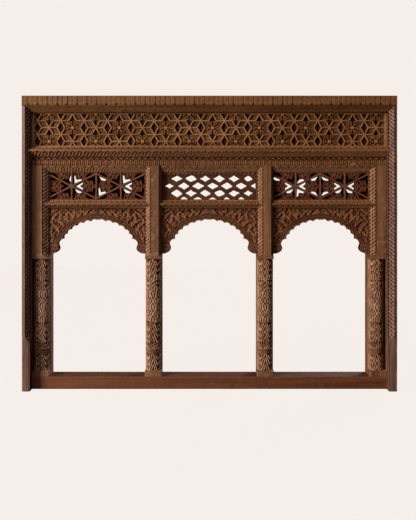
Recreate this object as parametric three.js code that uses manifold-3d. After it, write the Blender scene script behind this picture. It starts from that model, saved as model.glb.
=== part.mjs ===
// A carved wooden jharokha window: a triple arched frame with pierced panels over the arches.
// Millimetres, +X to the right, +Y away from the viewer, +Z up. Origin under the middle of the frame.
import * as THREE from 'three';
import { mergeVertices } from 'three/addons/utils/BufferGeometryUtils.js';
import Module from 'manifold-3d';

const wasm = await Module();
wasm.setup();

// Whole frame
const frameWidth = 1650;
const frameHeight = 1300;
const frameDepth = 150;
const fitGap = 0.3; // clearance between pieces that touch

// Outer frame
const jambWidth = 36;
const jambChamfer = { leftAcross: 18, rightAcross: 27, deep: 30, stopFrom: 204, stopTo: 248 };
const headFaceHeight = 45;
const headBevelHeight = 27;
const headPetal = { pitch: 43, start: 8, grooveWidth: 9, grooveDepth: 5, foot: 9 };

// Inner frame, set back from the front of the jambs
const innerFront = -32;
const postWidth = 74;
const sidePostWidth = 76;
const bayHalf = 213;
const sillHeight = 55;
const postTop = 994;
const postFoot = 579; // the square upper post ends here and the column starts
// A post between two bays is chamfered wider on its left, and a side post only towards its bay.
const postChamfer = { leftAcross: 24, rightAcross: 10, sideAcross: 28, deep: 22, stop: 18 };
const plankFront = 13; // the plain plank behind a column
const plinthHeight = 25;
const columnCentreY = 3;
const columnRadius = 34;
const columnSides = 16;
const columnLobes = 8;

// Rails and panels, heights above the floor
const lintel = { bottom: 965, top: 1034 };
const upperMoulding = { top: 1079, ridge: 1061, nose: 33, lap: 18 };
const frieze = { front: -28, thickness: 40, border: 9, edge: 3, pocket: 9, rib: 7, smallestPocket: 450 };
const transom = { bottom: 803, top: 841, ridge: 821, nose: 22, back: 60 };
const jali = { front: -4, thickness: 38, rib: 9, ribProud: 5, stile: 4, rim: 6 };
// Grid of the side panels: from column to column, from the middle to the next row, and how far each is off.
const jaliGrid = { column: 110, row: 56, shift: { left: -6, right: -2 } };
const leafHole = { armLength: 50, armWidth: 9, slant: 4, leafTip: 34, root: 13, sunk: 30, smallest: 40 };
const spandrel = {
  front: -2, // of the sunk field
  back: 34,
  corbelFoot: 600,
  corbelBand: 14,
  leafProud: 5,
  archivoltProud: 6,
  archivoltWidth: 24,
};
const arch = {
  halfWidth: 160,
  springing: 634,
  rise: 114,
  tip: 6,
  start: 0.297, // angle of the lowest cusp over the springing
  lobes: 6,
  lobeDepth: 7,
  lobeSteps: 3,
};

// Heights and distances worked out from the sizes above
const halfWidth = frameWidth / 2;
const front = -frameDepth / 2;
const back = frameDepth / 2;
const innerHalf = halfWidth - jambWidth;
const headBottom = frameHeight - headFaceHeight;
const headInnerBottom = headBottom - headBevelHeight;
const jambStep = front + jambChamfer.deep;
const postStep = innerFront + postChamfer.deep;
const bayPitch = 2 * bayHalf + postWidth;
const bayCentres = [-bayPitch, 0, bayPitch];
const plinthTop = sillHeight + plinthHeight;

const woods = {
  head: new THREE.MeshStandardMaterial({ color: 0x6b4a2f, roughness: 0.72, metalness: 0 }),
  frieze: new THREE.MeshStandardMaterial({ color: 0x80573a, roughness: 0.75, metalness: 0 }),
  lintel: new THREE.MeshStandardMaterial({ color: 0x5f3f2d, roughness: 0.72, metalness: 0 }),
  post: new THREE.MeshStandardMaterial({ color: 0x74523a, roughness: 0.72, metalness: 0 }),
  panel: new THREE.MeshStandardMaterial({ color: 0x70492f, roughness: 0.75, metalness: 0 }),
  sill: new THREE.MeshStandardMaterial({ color: 0x6e3e27, roughness: 0.68, metalness: 0 }),
};

// A closed three.js geometry as a solid that can be joined and cut.
function solidOf(geometry) {
  const bare = geometry.clone();
  bare.deleteAttribute('normal');
  bare.deleteAttribute('uv');
  const merged = mergeVertices(bare, 1e-3);
  const corners = merged.index.array;
  const kept = [];
  for (let i = 0; i < corners.length; i += 3) {
    const [a, b, c] = [corners[i], corners[i + 1], corners[i + 2]];
    if (a !== b && b !== c && c !== a) kept.push(a, b, c);
  }
  const vertProperties = new Float32Array(merged.attributes.position.array);
  return new wasm.Manifold(new wasm.Mesh({ numProp: 3, vertProperties, triVerts: new Uint32Array(kept) }));
}

function meshOf(name, solid, material) {
  const { vertProperties, triVerts } = solid.getMesh();
  const geometry = new THREE.BufferGeometry();
  geometry.setAttribute('position', new THREE.BufferAttribute(new Float32Array(vertProperties), 3));
  geometry.setIndex(new THREE.BufferAttribute(new Uint32Array(triVerts), 1));
  geometry.computeVertexNormals();
  const mesh = new THREE.Mesh(geometry, material);
  mesh.name = name;
  return mesh;
}

function shapeOf(points) {
  return new THREE.Shape(points.map(([a, b]) => new THREE.Vector2(a, b)));
}

// A box given by its lowest and highest corners.
function boxSolid(x0, x1, y0, y1, z0, z1) {
  const geometry = new THREE.BoxGeometry(x1 - x0, y1 - y0, z1 - z0);
  geometry.translate((x0 + x1) / 2, (y0 + y1) / 2, (z0 + z1) / 2);
  return solidOf(geometry);
}

// A profile of [y, z] points run from x0 to x1.
function runAlongX(profile, x0, x1) {
  const geometry = new THREE.ExtrudeGeometry(shapeOf(profile), { depth: x1 - x0, bevelEnabled: false });
  geometry.applyMatrix4(new THREE.Matrix4().set(0, 0, 1, x0, 1, 0, 0, 0, 0, 1, 0, 0, 0, 0, 0, 1));
  return solidOf(geometry);
}

// An outline of [x, z] points with a thickness from y0 to y1.
function slab(points, y0, y1) {
  const geometry = new THREE.ExtrudeGeometry(shapeOf(points), { depth: y1 - y0, bevelEnabled: false });
  geometry.rotateX(Math.PI / 2);
  geometry.translate(0, y1, 0);
  return solidOf(geometry);
}

// A plan of [x, y] points run from z0 to z1, its foot drawn in to one point where stop is given.
function runAlongZ(points, z0, z1, stop = 0, pinch = [0, 0]) {
  const steps = stop > 0 ? 2 : 1;
  const geometry = new THREE.ExtrudeGeometry(shapeOf(points), { depth: 2, steps, bevelEnabled: false });
  const position = geometry.attributes.position;
  const levels = stop > 0 ? [z0, z0 + stop, z1] : [z0, z1];
  const pinchShare = 0.9;
  for (let i = 0; i < position.count; i += 1) {
    const level = Math.round(position.getZ(i) * steps / 2);
    if (stop > 0 && level === 0) {
      const x = THREE.MathUtils.lerp(position.getX(i), pinch[0], pinchShare);
      const y = THREE.MathUtils.lerp(position.getY(i), pinch[1], pinchShare);
      position.setXY(i, x, y);
    }
    position.setZ(i, levels[level]);
  }
  return solidOf(geometry);
}

function joined(solids) {
  return solids.reduce((whole, piece) => whole.add(piece));
}

// The wedge that a stopped chamfer takes off the arris at x = edge, towards side (+1 or -1).
function chamferCut(edge, side, frontY, size, z0, z1, stop) {
  const over = 1;
  const slope = size.across / size.deep;
  const plan = [
    [edge + side * over, frontY - over],
    [edge - side * (size.across + over * slope), frontY - over],
    [edge - side * size.across, frontY],
    [edge, frontY + size.deep],
    [edge + side * over, frontY + size.deep],
  ];
  return runAlongZ(plan, z0, z1, stop, [edge + side * over, frontY - over]);
}

function jambSolid(side, grow = 0) {
  const inner = side * (innerHalf - grow);
  const outer = side * (halfWidth + grow);
  const [x0, x1] = side > 0 ? [inner, outer] : [outer, inner];
  const body = boxSolid(x0, x1, front - grow, back + grow, 0, headBottom);
  const { deep, stopFrom, stopTo } = jambChamfer;
  const size = { across: side > 0 ? jambChamfer.rightAcross : jambChamfer.leftAcross, deep };
  const cut = chamferCut(inner, -side, front - grow, size, stopFrom, headBottom + 1, stopTo - stopFrom);
  return body.subtract(cut);
}

// The head rail lies over both jambs; its lower bevel meets the chamfers of the jambs in a mitre.
function headRail() {
  const gap = fitGap;
  const face = boxSolid(-halfWidth, halfWidth, front, back, headBottom + gap, frameHeight);
  const bevelProfile = [
    [front, headBottom + 1],
    [jambStep, headInnerBottom],
    [back, headInnerBottom],
    [back, headBottom + 1],
  ];
  const reach = innerHalf + jambChamfer.rightAcross;
  let rail = face.add(runAlongX(bevelProfile, -reach, reach));
  for (const side of [-1, 1]) rail = rail.subtract(jambSolid(side, gap));
  const grooveCount = Math.floor((frameWidth / 2 - headPetal.pitch / 2) / headPetal.pitch);
  for (let i = -grooveCount - 1; i <= grooveCount; i += 1) {
    const x = headPetal.start + (i + 0.5) * headPetal.pitch;
    const half = headPetal.grooveWidth / 2;
    const plan = [[x - half, front - 1], [x + half, front - 1], [x, front + headPetal.grooveDepth]];
    rail = rail.subtract(runAlongZ(plan, headBottom + headPetal.foot, frameHeight + 1));
  }
  return rail;
}

// Levels of a carved column from its foot up: height, radius and how deep the leaves are cut.
const columnLevels = [
  [80, 36, 4], [150, 33, 3], [160, 30.5, 0], [167, 35, 0], [204, 32.5, 3], [232, 35.5, 4], [285, 32.5, 4],
  [300, 30.5, 2], [440, 32, 2], [470, 30.5, 1], [478, 34.5, 0], [485, 31, 0], [492, 34.5, 0], [502, 30.5, 0],
  [545, 35, 3], [579.5, 34.5, 0],
];

function columnSolid(centreX, radius) {
  const rows = columnLevels.length - 1;
  const geometry = new THREE.CylinderGeometry(1, 1, 1, columnSides, rows);
  geometry.rotateX(Math.PI / 2);
  const position = geometry.attributes.position;
  for (let i = 0; i < position.count; i += 1) {
    const [z, levelRadius, lobe] = columnLevels[Math.round((position.getZ(i) + 0.5) * rows)];
    const isCentre = Math.hypot(position.getX(i), position.getY(i)) < 0.5;
    const angle = Math.atan2(position.getX(i), -position.getY(i));
    const leaf = 0.5 - 0.5 * Math.cos(angle * columnLobes);
    const r = isCentre ? 0 : (levelRadius - lobe * leaf) * radius / columnRadius;
    position.setXYZ(i, centreX + r * Math.sin(angle), columnCentreY - r * Math.cos(angle), z);
  }
  return solidOf(geometry);
}

// The square upper post, with its chamfers, and what stands under it.
function postBody(spot, grow = 0) {
  const profile = [
    [innerFront - grow, postTop + grow],
    [innerFront - grow, postFoot],
    [plankFront, postFoot],
    [plankFront, plinthTop],
    [innerFront - grow, plinthTop],
    [innerFront - grow, sillHeight + fitGap],
    [back + grow, sillHeight + fitGap],
    [back + grow, postTop + grow],
  ];
  const [x0, x1] = [spot.x0 - grow, spot.x1 + grow];
  let body = runAlongX(profile, x0, x1);
  const chamferTop = postTop + grow + 1;
  for (const [edge, side, across] of [[x0, -1, spot.leftAcross], [x1, 1, spot.rightAcross]]) {
    if (!across) continue;
    const size = { across, deep: postChamfer.deep };
    const cut = chamferCut(edge, side, innerFront - grow, size, postFoot + 3, chamferTop, postChamfer.stop);
    body = body.subtract(cut);
  }
  return body;
}

const { leftAcross, rightAcross, sideAcross } = postChamfer;
const centreShape = { radius: columnRadius, leftAcross, rightAcross };
const sideInner = innerHalf - sidePostWidth;
const sideOuter = innerHalf - fitGap;
const centreOuter = bayHalf + postWidth;
const postSpots = [
  { name: 'post_left', x0: -sideOuter, x1: -sideInner, column: -747, radius: 31, rightAcross: sideAcross },
  { name: 'post_centre_left', x0: -centreOuter, x1: -bayHalf, column: -250, ...centreShape },
  { name: 'post_centre_right', x0: bayHalf, x1: centreOuter, column: 250, ...centreShape },
  { name: 'post_right', x0: sideInner, x1: sideOuter, column: 747, radius: 31, leftAcross: sideAcross },
];

function postSolid(spot) {
  return postBody(spot).add(columnSolid(spot.column, spot.radius));
}

// Takes the posts away from a rail that is housed between them or laps their chamfers.
function withoutPosts(rail) {
  return postSpots.reduce((rest, spot) => rest.subtract(postBody(spot, fitGap)), rail);
}

function lintelSolid() {
  const profile = [
    [postStep, lintel.bottom],
    [innerFront, postTop],
    [innerFront, lintel.top - fitGap],
    [back, lintel.top - fitGap],
    [back, lintel.bottom],
  ];
  return withoutPosts(runAlongX(profile, -innerHalf + fitGap, innerHalf - fitGap));
}

// The moulding over the lintel comes to a ridge, and its ends are cut to the chamfers of the jambs.
function upperMouldingSolid() {
  const nose = innerFront - upperMoulding.nose;
  const profile = [
    [innerFront, lintel.top],
    [nose, upperMoulding.ridge - 2],
    [nose, upperMoulding.ridge + 2],
    [innerFront, upperMoulding.top],
    [back, upperMoulding.top],
    [back, lintel.top],
  ];
  const reach = innerHalf + upperMoulding.lap;
  const rail = runAlongX(profile, -reach, reach);
  return rail.subtract(jambSolid(-1, fitGap)).subtract(jambSolid(1, fitGap));
}

function transomSolid(centreX) {
  const nose = postStep - transom.nose;
  const profile = [
    [postStep, transom.bottom + fitGap],
    [nose, transom.ridge - 1],
    [nose, transom.ridge + 1],
    [postStep, transom.top],
    [transom.back, transom.top],
    [transom.back, transom.bottom + fitGap],
  ];
  const reach = bayHalf + postChamfer.sideAcross;
  return withoutPosts(runAlongX(profile, centreX - reach, centreX + reach));
}

// Frieze: a panel of sunk lozenges between ribs that meet in six-rayed stars.
function friezeSolid() {
  const starPitchX = 52; // between columns of stars
  const starPitchZ = 61.4; // up a column of stars
  const starRow = { x: 15, z: 1163 }; // a star near the middle, from which the rest are set out
  const bottom = upperMoulding.top + fitGap;
  const top = headInnerBottom - fitGap;
  const side = innerHalf - fitGap;
  const panel = boxSolid(-side, side, frieze.front, frieze.front + frieze.thickness, bottom, top);
  const field = { x: side - frieze.border, z0: bottom + frieze.edge, z1: top - frieze.edge };
  const columns = Math.ceil(side / starPitchX);
  const rows = 2;
  const neighbours = [[0, 1], [1, 0.5], [1, -0.5]]; // in columns and column steps
  const pockets = [];
  for (let column = -columns - 1; column <= columns; column += 1) {
    for (let row = -rows; row <= rows; row += 1) {
      const shift = column % 2 === 0 ? 0 : 0.5;
      for (const [dColumn, dRow] of neighbours) {
        const from = [starRow.x + column * starPitchX, starRow.z + (row + shift) * starPitchZ];
        const to = [from[0] + dColumn * starPitchX, from[1] + dRow * starPitchZ];
        const pocket = clipToField(lozenge(from, to), field);
        if (pocket.length > 2 && areaOf(pocket) > frieze.smallestPocket) pockets.push(pocket);
      }
    }
  }
  const cuts = pockets.map((outline) => slab(outline, frieze.front - 1, frieze.front + frieze.pocket));
  return panel.subtract(wasm.Manifold.union(cuts));
}

// The lozenge between two stars, drawn in by half a rib on each side.
function lozenge([x0, z0], [x1, z1]) {
  const dx = x1 - x0;
  const dz = z1 - z0;
  const length = Math.hypot(dx, dz);
  const half = length / 2;
  const shrinkAlong = frieze.rib; // half a rib over the sine of the sharp half angle
  const shrinkAcross = frieze.rib / Math.sqrt(3);
  const ux = dx / length;
  const uz = dz / length;
  const across = half / Math.sqrt(3) - shrinkAcross;
  const along = half - shrinkAlong;
  const mx = (x0 + x1) / 2;
  const mz = (z0 + z1) / 2;
  return [
    [mx - ux * along, mz - uz * along],
    [mx + uz * across, mz - ux * across],
    [mx + ux * along, mz + uz * along],
    [mx - uz * across, mz + ux * across],
  ];
}

// An outline cut to a field of x between -x and x and z between z0 and z1.
function clipToField(outline, field) {
  const limits = [
    (p) => p[0] + field.x,
    (p) => field.x - p[0],
    (p) => p[1] - field.z0,
    (p) => field.z1 - p[1],
  ];
  let points = outline;
  for (const inside of limits) {
    const kept = [];
    points.forEach((point, i) => {
      const next = points[(i + 1) % points.length];
      const a = inside(point);
      const b = inside(next);
      if (a >= 0) kept.push(point);
      if ((a >= 0) !== (b >= 0)) {
        const t = a / (a - b);
        kept.push([point[0] + (next[0] - point[0]) * t, point[1] + (next[1] - point[1]) * t]);
      }
    });
    points = kept;
  }
  return points;
}

function areaOf(points) {
  const twice = points.reduce((sum, [x, z], i) => {
    const [nx, nz] = points[(i + 1) % points.length];
    return sum + x * nz - nx * z;
  }, 0);
  return Math.abs(twice) / 2;
}

// Panels of the side bays: ribs on a grid of triangles, filled with three-leaved flowers. Round the tip of
// every leaf a V is sunk, and some of these go through.

// Corners that are open: column and row of the corner, the way its leaf lies in degrees, and which arms.
const openCorners = {
  left: [
    [-1, 0, 0, 'both'], [-1, 0, 60, 'both'], [-1, 0, -60, 'slant'], [-1, 0, 120, 'upright'],
    [1, 0, 0, 'both'], [1, 0, 60, 'both'], [1, 0, -60, 'slant'], [0, 1, -60, 'slant'], [0, -1, 60, 'both'],
  ],
  right: [
    [-2, 1, -60, 'slant'], [-1, 0, 180, 'both'], [-1, 0, 60, 'slant'], [-1, 0, 0, 'both'],
    [-1, 0, -60, 'both'], [-1, 0, -120, 'slant'], [0, 1, -120, 'slant'], [0, 1, -60, 'slant'],
    [0, -1, 120, 'slant'], [0, -1, 60, 'slant'], [1, 0, 180, 'both'], [1, 0, 0, 'both'],
    [1, 0, -120, 'slant'], [1, 0, -60, 'slant'],
  ],
};

function directionOf([x, z]) {
  const length = Math.hypot(x, z);
  return [x / length, z / length];
}

// The V round a leaf tip, in the corner at c between ribs along the directions da and db, or one arm of it.
function cornerHole(c, da, db, arms = 'both') {
  const middle = directionOf([da[0] + db[0], da[1] + db[1]]);
  const half = jali.rib / 2;
  const { armLength, armWidth, slant } = leafHole;
  const armOf = (d) => {
    const turn = Math.sign(d[0] * middle[1] - d[1] * middle[0]);
    const n = [-d[1] * turn, d[0] * turn];
    const place = (reach, inset) => [c[0] + d[0] * reach + n[0] * inset, c[1] + d[1] * reach + n[1] * inset];
    return [place(armLength, half), place(armLength - slant, half + armWidth)];
  };
  const root = [c[0] + middle[0] * leafHole.root, c[1] + middle[1] * leafHole.root];
  const tip = [c[0] + middle[0] * leafHole.leafTip, c[1] + middle[1] * leafHole.leafTip];
  const isUpright = (d) => Math.abs(d[0]) < 0.1;
  const [outerA, innerA] = armOf(da);
  const [outerB, innerB] = armOf(db);
  if (arms === 'both') return [root, outerA, innerA, tip, innerB, outerB];
  return isUpright(da) === (arms === 'upright') ? [root, outerA, innerA, tip] : [root, outerB, innerB, tip];
}

function sideJali(centreX, bay) {
  const side = bayHalf - fitGap;
  const z0 = transom.top + fitGap;
  const z1 = lintel.bottom - fitGap;
  const y0 = jali.front;
  const y1 = jali.front + jali.thickness;
  const { column, row, shift } = jaliGrid;
  const placeOf = (i, j) => [shift[bay] + i * column, (z0 + z1) / 2 + j * row];
  const rise = Math.atan2(row, column);
  const directions = [rise, Math.PI / 2, Math.PI - rise, Math.PI + rise, 1.5 * Math.PI, -rise]
    .map((angle) => [Math.cos(angle), Math.sin(angle)]);
  const leaves = directions.map((direction, i) => {
    const next = directions[(i + 1) % directions.length];
    return { pair: [direction, next], middle: directionOf([direction[0] + next[0], direction[1] + next[1]]) };
  });
  const field = { x: side - jali.stile, z0: z0 + jali.rim, z1: z1 - jali.rim };
  const corners = [[-1, 0], [1, 0], [-2, 1], [-2, -1], [0, 1], [0, -1], [2, 1], [2, -1]];
  const sunk = corners
    .flatMap(([i, j]) => leaves.map(({ pair }) => clipToField(cornerHole(placeOf(i, j), ...pair), field)))
    .filter((outline) => outline.length > 2 && areaOf(outline) > leafHole.smallest)
    .map((outline) => slab(outline, y0 - 1, y0 + leafHole.sunk));
  const through = openCorners[bay].map(([i, j, degrees, arms]) => {
    const angle = THREE.MathUtils.degToRad(degrees);
    const matchOf = ({ middle }) => middle[0] * Math.cos(angle) + middle[1] * Math.sin(angle);
    const leaf = leaves.reduce((best, other) => (matchOf(other) > matchOf(best) ? other : best));
    return slab(clipToField(cornerHole(placeOf(i, j), ...leaf.pair, arms), field), y0 - 1, y1 + 1);
  });
  const ends = [];
  for (const i of [-1, 0, 1]) ends.push([[placeOf(i, 0)[0], z0 + 1], [placeOf(i, 0)[0], z1 - 1]]);
  for (const i of [-1, 1]) {
    for (const next of [i - 1, i + 1]) {
      for (const j of [-1, 1]) ends.push([placeOf(next, j), placeOf(i, 0)]);
    }
  }
  const ribField = { x: side, z0, z1 };
  const proudFront = y0 - jali.ribProud;
  const ribs = ends.map(([a, b]) => slab(clipToField(ribOutline(a, b), ribField), proudFront, y0 + 1));
  const panel = boxSolid(-side, side, y0, y1, z0, z1)
    .subtract(wasm.Manifold.union([...sunk, ...through]))
    .add(wasm.Manifold.union(ribs));
  return panel.translate([centreX, 0, 0]);
}

function ribOutline(a, b) {
  const length = Math.hypot(b[0] - a[0], b[1] - a[1]);
  const half = jali.rib / 2 - 0.5;
  const nx = -(b[1] - a[1]) / length * half;
  const nz = (b[0] - a[0]) / length * half;
  return [[a[0] + nx, a[1] + nz], [b[0] + nx, b[1] + nz], [b[0] - nx, b[1] - nz], [a[0] - nx, a[1] - nz]];
}

// Pierced panel of the middle bay: rows of four-pointed openings, the last row cut by the transom.
const starHole = {
  start: -18, // of one opening in the first row
  pitchX: 64.5,
  pitchZ: 33,
  halfWidth: 26,
  halfHeight: 15.5,
  firstRowZ: 937,
  rows: [[-2, 3], [-3, 3], [-2, 3], [-2, 2]], // first and last opening of each row
  rim: 9, // plain wood over the first row
  smallest: 200,
};

function starOutline(x, z) {
  const { halfWidth: w, halfHeight: h } = starHole;
  const waist = 0.42;
  return [
    [x - w, z], [x - w * waist, z - h * waist], [x, z - h], [x + w * waist, z - h * waist],
    [x + w, z], [x + w * waist, z + h * waist], [x, z + h], [x - w * waist, z + h * waist],
  ];
}

function centreJali() {
  const side = bayHalf - fitGap;
  const z0 = transom.top + fitGap;
  const z1 = lintel.bottom - fitGap;
  const y0 = jali.front;
  const y1 = jali.front + jali.thickness;
  const field = { x: side - jali.stile, z0: z0 + jali.stile, z1: z1 - starHole.rim };
  const cuts = [];
  for (const [row, [first, last]] of starHole.rows.entries()) {
    const shift = row % 2 === 0 ? 0 : 0.5;
    for (let i = first; i <= last; i += 1) {
      const x = starHole.start + (i + shift) * starHole.pitchX;
      const outline = clipToField(starOutline(x, starHole.firstRowZ - row * starHole.pitchZ), field);
      if (outline.length > 2 && areaOf(outline) > starHole.smallest) cuts.push(slab(outline, y0 - 1, y1 + 1));
    }
  }
  return boxSolid(-side, side, y0, y1, z0, z1).subtract(wasm.Manifold.union(cuts));
}

// Half of a cusped arch: points from the lowest cusp up to the tip, as distance from the bay's middle
// and height.
function archEdge() {
  const points = [];
  const { lobes, lobeSteps, lobeDepth } = arch;
  const lobeAngle = (Math.PI / 2 - arch.start) / lobes;
  for (let lobe = 0; lobe < lobes; lobe += 1) {
    for (let step = 0; step < lobeSteps; step += 1) {
      const share = step / lobeSteps;
      const t = arch.start + (lobe + share) * lobeAngle;
      const bulge = lobeDepth * Math.sin(Math.PI * share);
      const u = (arch.halfWidth + bulge) * Math.cos(t);
      points.push([u, arch.springing + (arch.rise + bulge) * Math.sin(t)]);
    }
  }
  points.push([fitGap / 2, arch.springing + arch.rise + arch.tip]);
  return points;
}

// The sunk field of a spandrel: over the roll that follows the arch, beside the post and under the rail.
function fieldOutline(outer, top) {
  const points = [[outer, top], [0, top]];
  const steps = 8;
  const a = arch.halfWidth + spandrel.archivoltWidth;
  const b = arch.rise + spandrel.archivoltWidth;
  for (let i = 0; i <= steps; i += 1) {
    const t = (Math.PI / 2) * (1 - i / (steps + 1));
    points.push([a * Math.cos(t), arch.springing + b * Math.sin(t)]);
  }
  return [...points, [outer, arch.springing + spandrel.corbelBand]];
}

// One leaf of the scroll in the field of a spandrel, pointing along angle.
function leafOutline(x, z, angle, length, width) {
  const spine = [[0, 0], [0.35, 0.5], [0.7, 0.38], [1, 0], [0.7, -0.38], [0.35, -0.5]];
  return spine.map(([s, t]) => [
    x + s * length * Math.cos(angle) - t * width * Math.sin(angle),
    z + s * length * Math.sin(angle) + t * width * Math.cos(angle),
  ]);
}

function spandrelSolid(centreX, side) {
  const outer = bayHalf - fitGap;
  const top = transom.bottom;
  const { corbelFoot, front: y0, back: y1 } = spandrel;
  const corbel = [
    [outer, corbelFoot],
    [outer - 14, corbelFoot + 1],
    [outer - 28, corbelFoot + 6],
    [outer - 37, corbelFoot + 14],
    [outer - 40, corbelFoot + 23],
    [outer - 36, corbelFoot + 40],
    [outer - 34, corbelFoot + 46],
    [outer - 42, corbelFoot + 62],
  ];
  const board = [...corbel, ...archEdge(), [fitGap / 2, top], [outer, top]];
  const leaves = [
    [118, 776, -0.3, 56, 26],
    [188, 742, 2.3, 44, 28],
    [196, 690, 1.75, 40, 22],
  ];
  const place = (points) => points.map(([u, z]) => [centreX + side * u, z]);
  const proudFront = y0 - spandrel.archivoltProud;
  const field = slab(place(fieldOutline(outer + 1, top + 1)), proudFront - 1, y0);
  const layers = [slab(place(board), proudFront, y1).subtract(field)];
  for (const [u, z, angle, length, width] of leaves) {
    layers.push(slab(place(leafOutline(u, z, angle, length, width)), y0 - spandrel.leafProud, y0 + 1));
  }
  return joined(layers);
}

function sillSolid() {
  return boxSolid(-innerHalf + fitGap, innerHalf - fitGap, innerFront, back, 0, sillHeight);
}

const jharokha = new THREE.Group();
jharokha.add(meshOf('head_rail', headRail(), woods.head));
jharokha.add(meshOf('jamb_left', jambSolid(-1), woods.post));
jharokha.add(meshOf('jamb_right', jambSolid(1), woods.post));
jharokha.add(meshOf('frieze_panel', friezeSolid(), woods.frieze));
jharokha.add(meshOf('upper_moulding', upperMouldingSolid(), woods.lintel));
jharokha.add(meshOf('lintel', lintelSolid(), woods.lintel));
for (const spot of postSpots) jharokha.add(meshOf(spot.name, postSolid(spot), woods.post));
const bayNames = ['left', 'centre', 'right'];
bayCentres.forEach((centreX, i) => {
  const bay = bayNames[i];
  const panel = i === 1 ? centreJali() : sideJali(centreX, bay);
  jharokha.add(meshOf(`jali_${bay}`, panel, woods.panel));
  jharokha.add(meshOf(`transom_${bay}`, transomSolid(centreX), woods.post));
  jharokha.add(meshOf(`spandrel_${bay}_bay_left_half`, spandrelSolid(centreX, -1), woods.panel));
  jharokha.add(meshOf(`spandrel_${bay}_bay_right_half`, spandrelSolid(centreX, 1), woods.panel));
});
jharokha.add(meshOf('sill', sillSolid(), woods.sill));

export default jharokha;
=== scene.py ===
import math
import bmesh
import bpy
import numpy as np
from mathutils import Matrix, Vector
from mathutils.geometry import tessellate_polygon


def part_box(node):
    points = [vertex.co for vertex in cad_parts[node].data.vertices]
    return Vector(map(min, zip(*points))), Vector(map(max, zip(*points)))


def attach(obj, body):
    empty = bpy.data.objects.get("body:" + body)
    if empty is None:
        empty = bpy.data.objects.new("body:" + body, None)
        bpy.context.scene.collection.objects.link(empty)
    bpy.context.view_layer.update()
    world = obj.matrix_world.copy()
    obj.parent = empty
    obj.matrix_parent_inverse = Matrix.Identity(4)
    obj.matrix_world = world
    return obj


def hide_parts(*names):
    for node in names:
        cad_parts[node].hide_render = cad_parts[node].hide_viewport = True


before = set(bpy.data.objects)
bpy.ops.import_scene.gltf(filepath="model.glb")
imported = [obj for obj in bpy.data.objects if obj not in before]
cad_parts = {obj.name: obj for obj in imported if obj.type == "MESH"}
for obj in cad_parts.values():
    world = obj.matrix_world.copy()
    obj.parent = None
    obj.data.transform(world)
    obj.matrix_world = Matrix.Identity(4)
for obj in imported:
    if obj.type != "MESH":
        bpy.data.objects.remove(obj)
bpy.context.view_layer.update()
mm = 0.001
print("frame loaded,", len(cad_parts), "timbers")


# Sizes from the frame, in millimetres: x0, x1, y0, y1, z0, z1
def span(node):
    low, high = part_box(node)
    return [v / mm for pair in zip(low, high) for v in pair]


# Small functions for carving; each works on whole arrays
def fract(v):
    return v - np.floor(v)


def ramp(v, a, b):
    t = np.clip((v - a) / (b - a), 0, 1)
    return t * t * (3 - 2 * t)


def hump(v, centre, width):
    return np.exp(-((v - centre) / width) ** 2)


def spot(a, b, radius):
    return np.exp(-(a ** 2 + b ** 2) / radius ** 2)


# How far v is from the nearest of a row of places, one in the middle of every pitch
def offset(v, pitch):
    return (fract(v / pitch) - 0.5) * pitch


# A row of grooves across v, one at every half
def grooved(v, width):
    return hump(fract(v) - 0.5, 0, width)


def speckle(i, j, seed):
    n = np.sin(i * 127.1 + j * 311.7 + seed * 74.7) * 43758.5453
    return n - np.floor(n)


def softNoise(u, v, seed=0):
    i, j = np.floor(u), np.floor(v)
    f, g = u - i, v - j
    f, g = f * f * (3 - 2 * f), g * g * (3 - 2 * g)
    low = speckle(i, j, seed) * (1 - f) + speckle(i + 1, j, seed) * f
    high = speckle(i, j + 1, seed) * (1 - f) + speckle(i + 1, j + 1, seed) * f
    return low * (1 - g) + high * g


def linked(name, data):
    made = bpy.data.objects.new(name, data)
    bpy.context.scene.collection.objects.link(made)
    return made


def readAll(items, field, kind, each=1):
    values = np.empty(len(items) * each, kind)
    items.foreach_get(field, values)
    return values.reshape(-1, each) if each > 1 else values


# The plain faces of a timber, which stay flat beside its worn arrises
def wideFaces(mesh, width=20.0):
    points = readAll(mesh.vertices, "co", np.float32, 3)
    corners = readAll(mesh.loops, "vertex_index", np.int32)
    starts = readAll(mesh.polygons, "loop_start", np.int32)
    following = np.arange(1, len(corners) + 1)
    following[np.append(starts[1:], len(corners)) - 1] = starts
    length = np.linalg.norm(points[corners[following]] - points[corners], axis=1)
    return np.maximum.reduceat(length, starts) > width * mm


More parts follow.
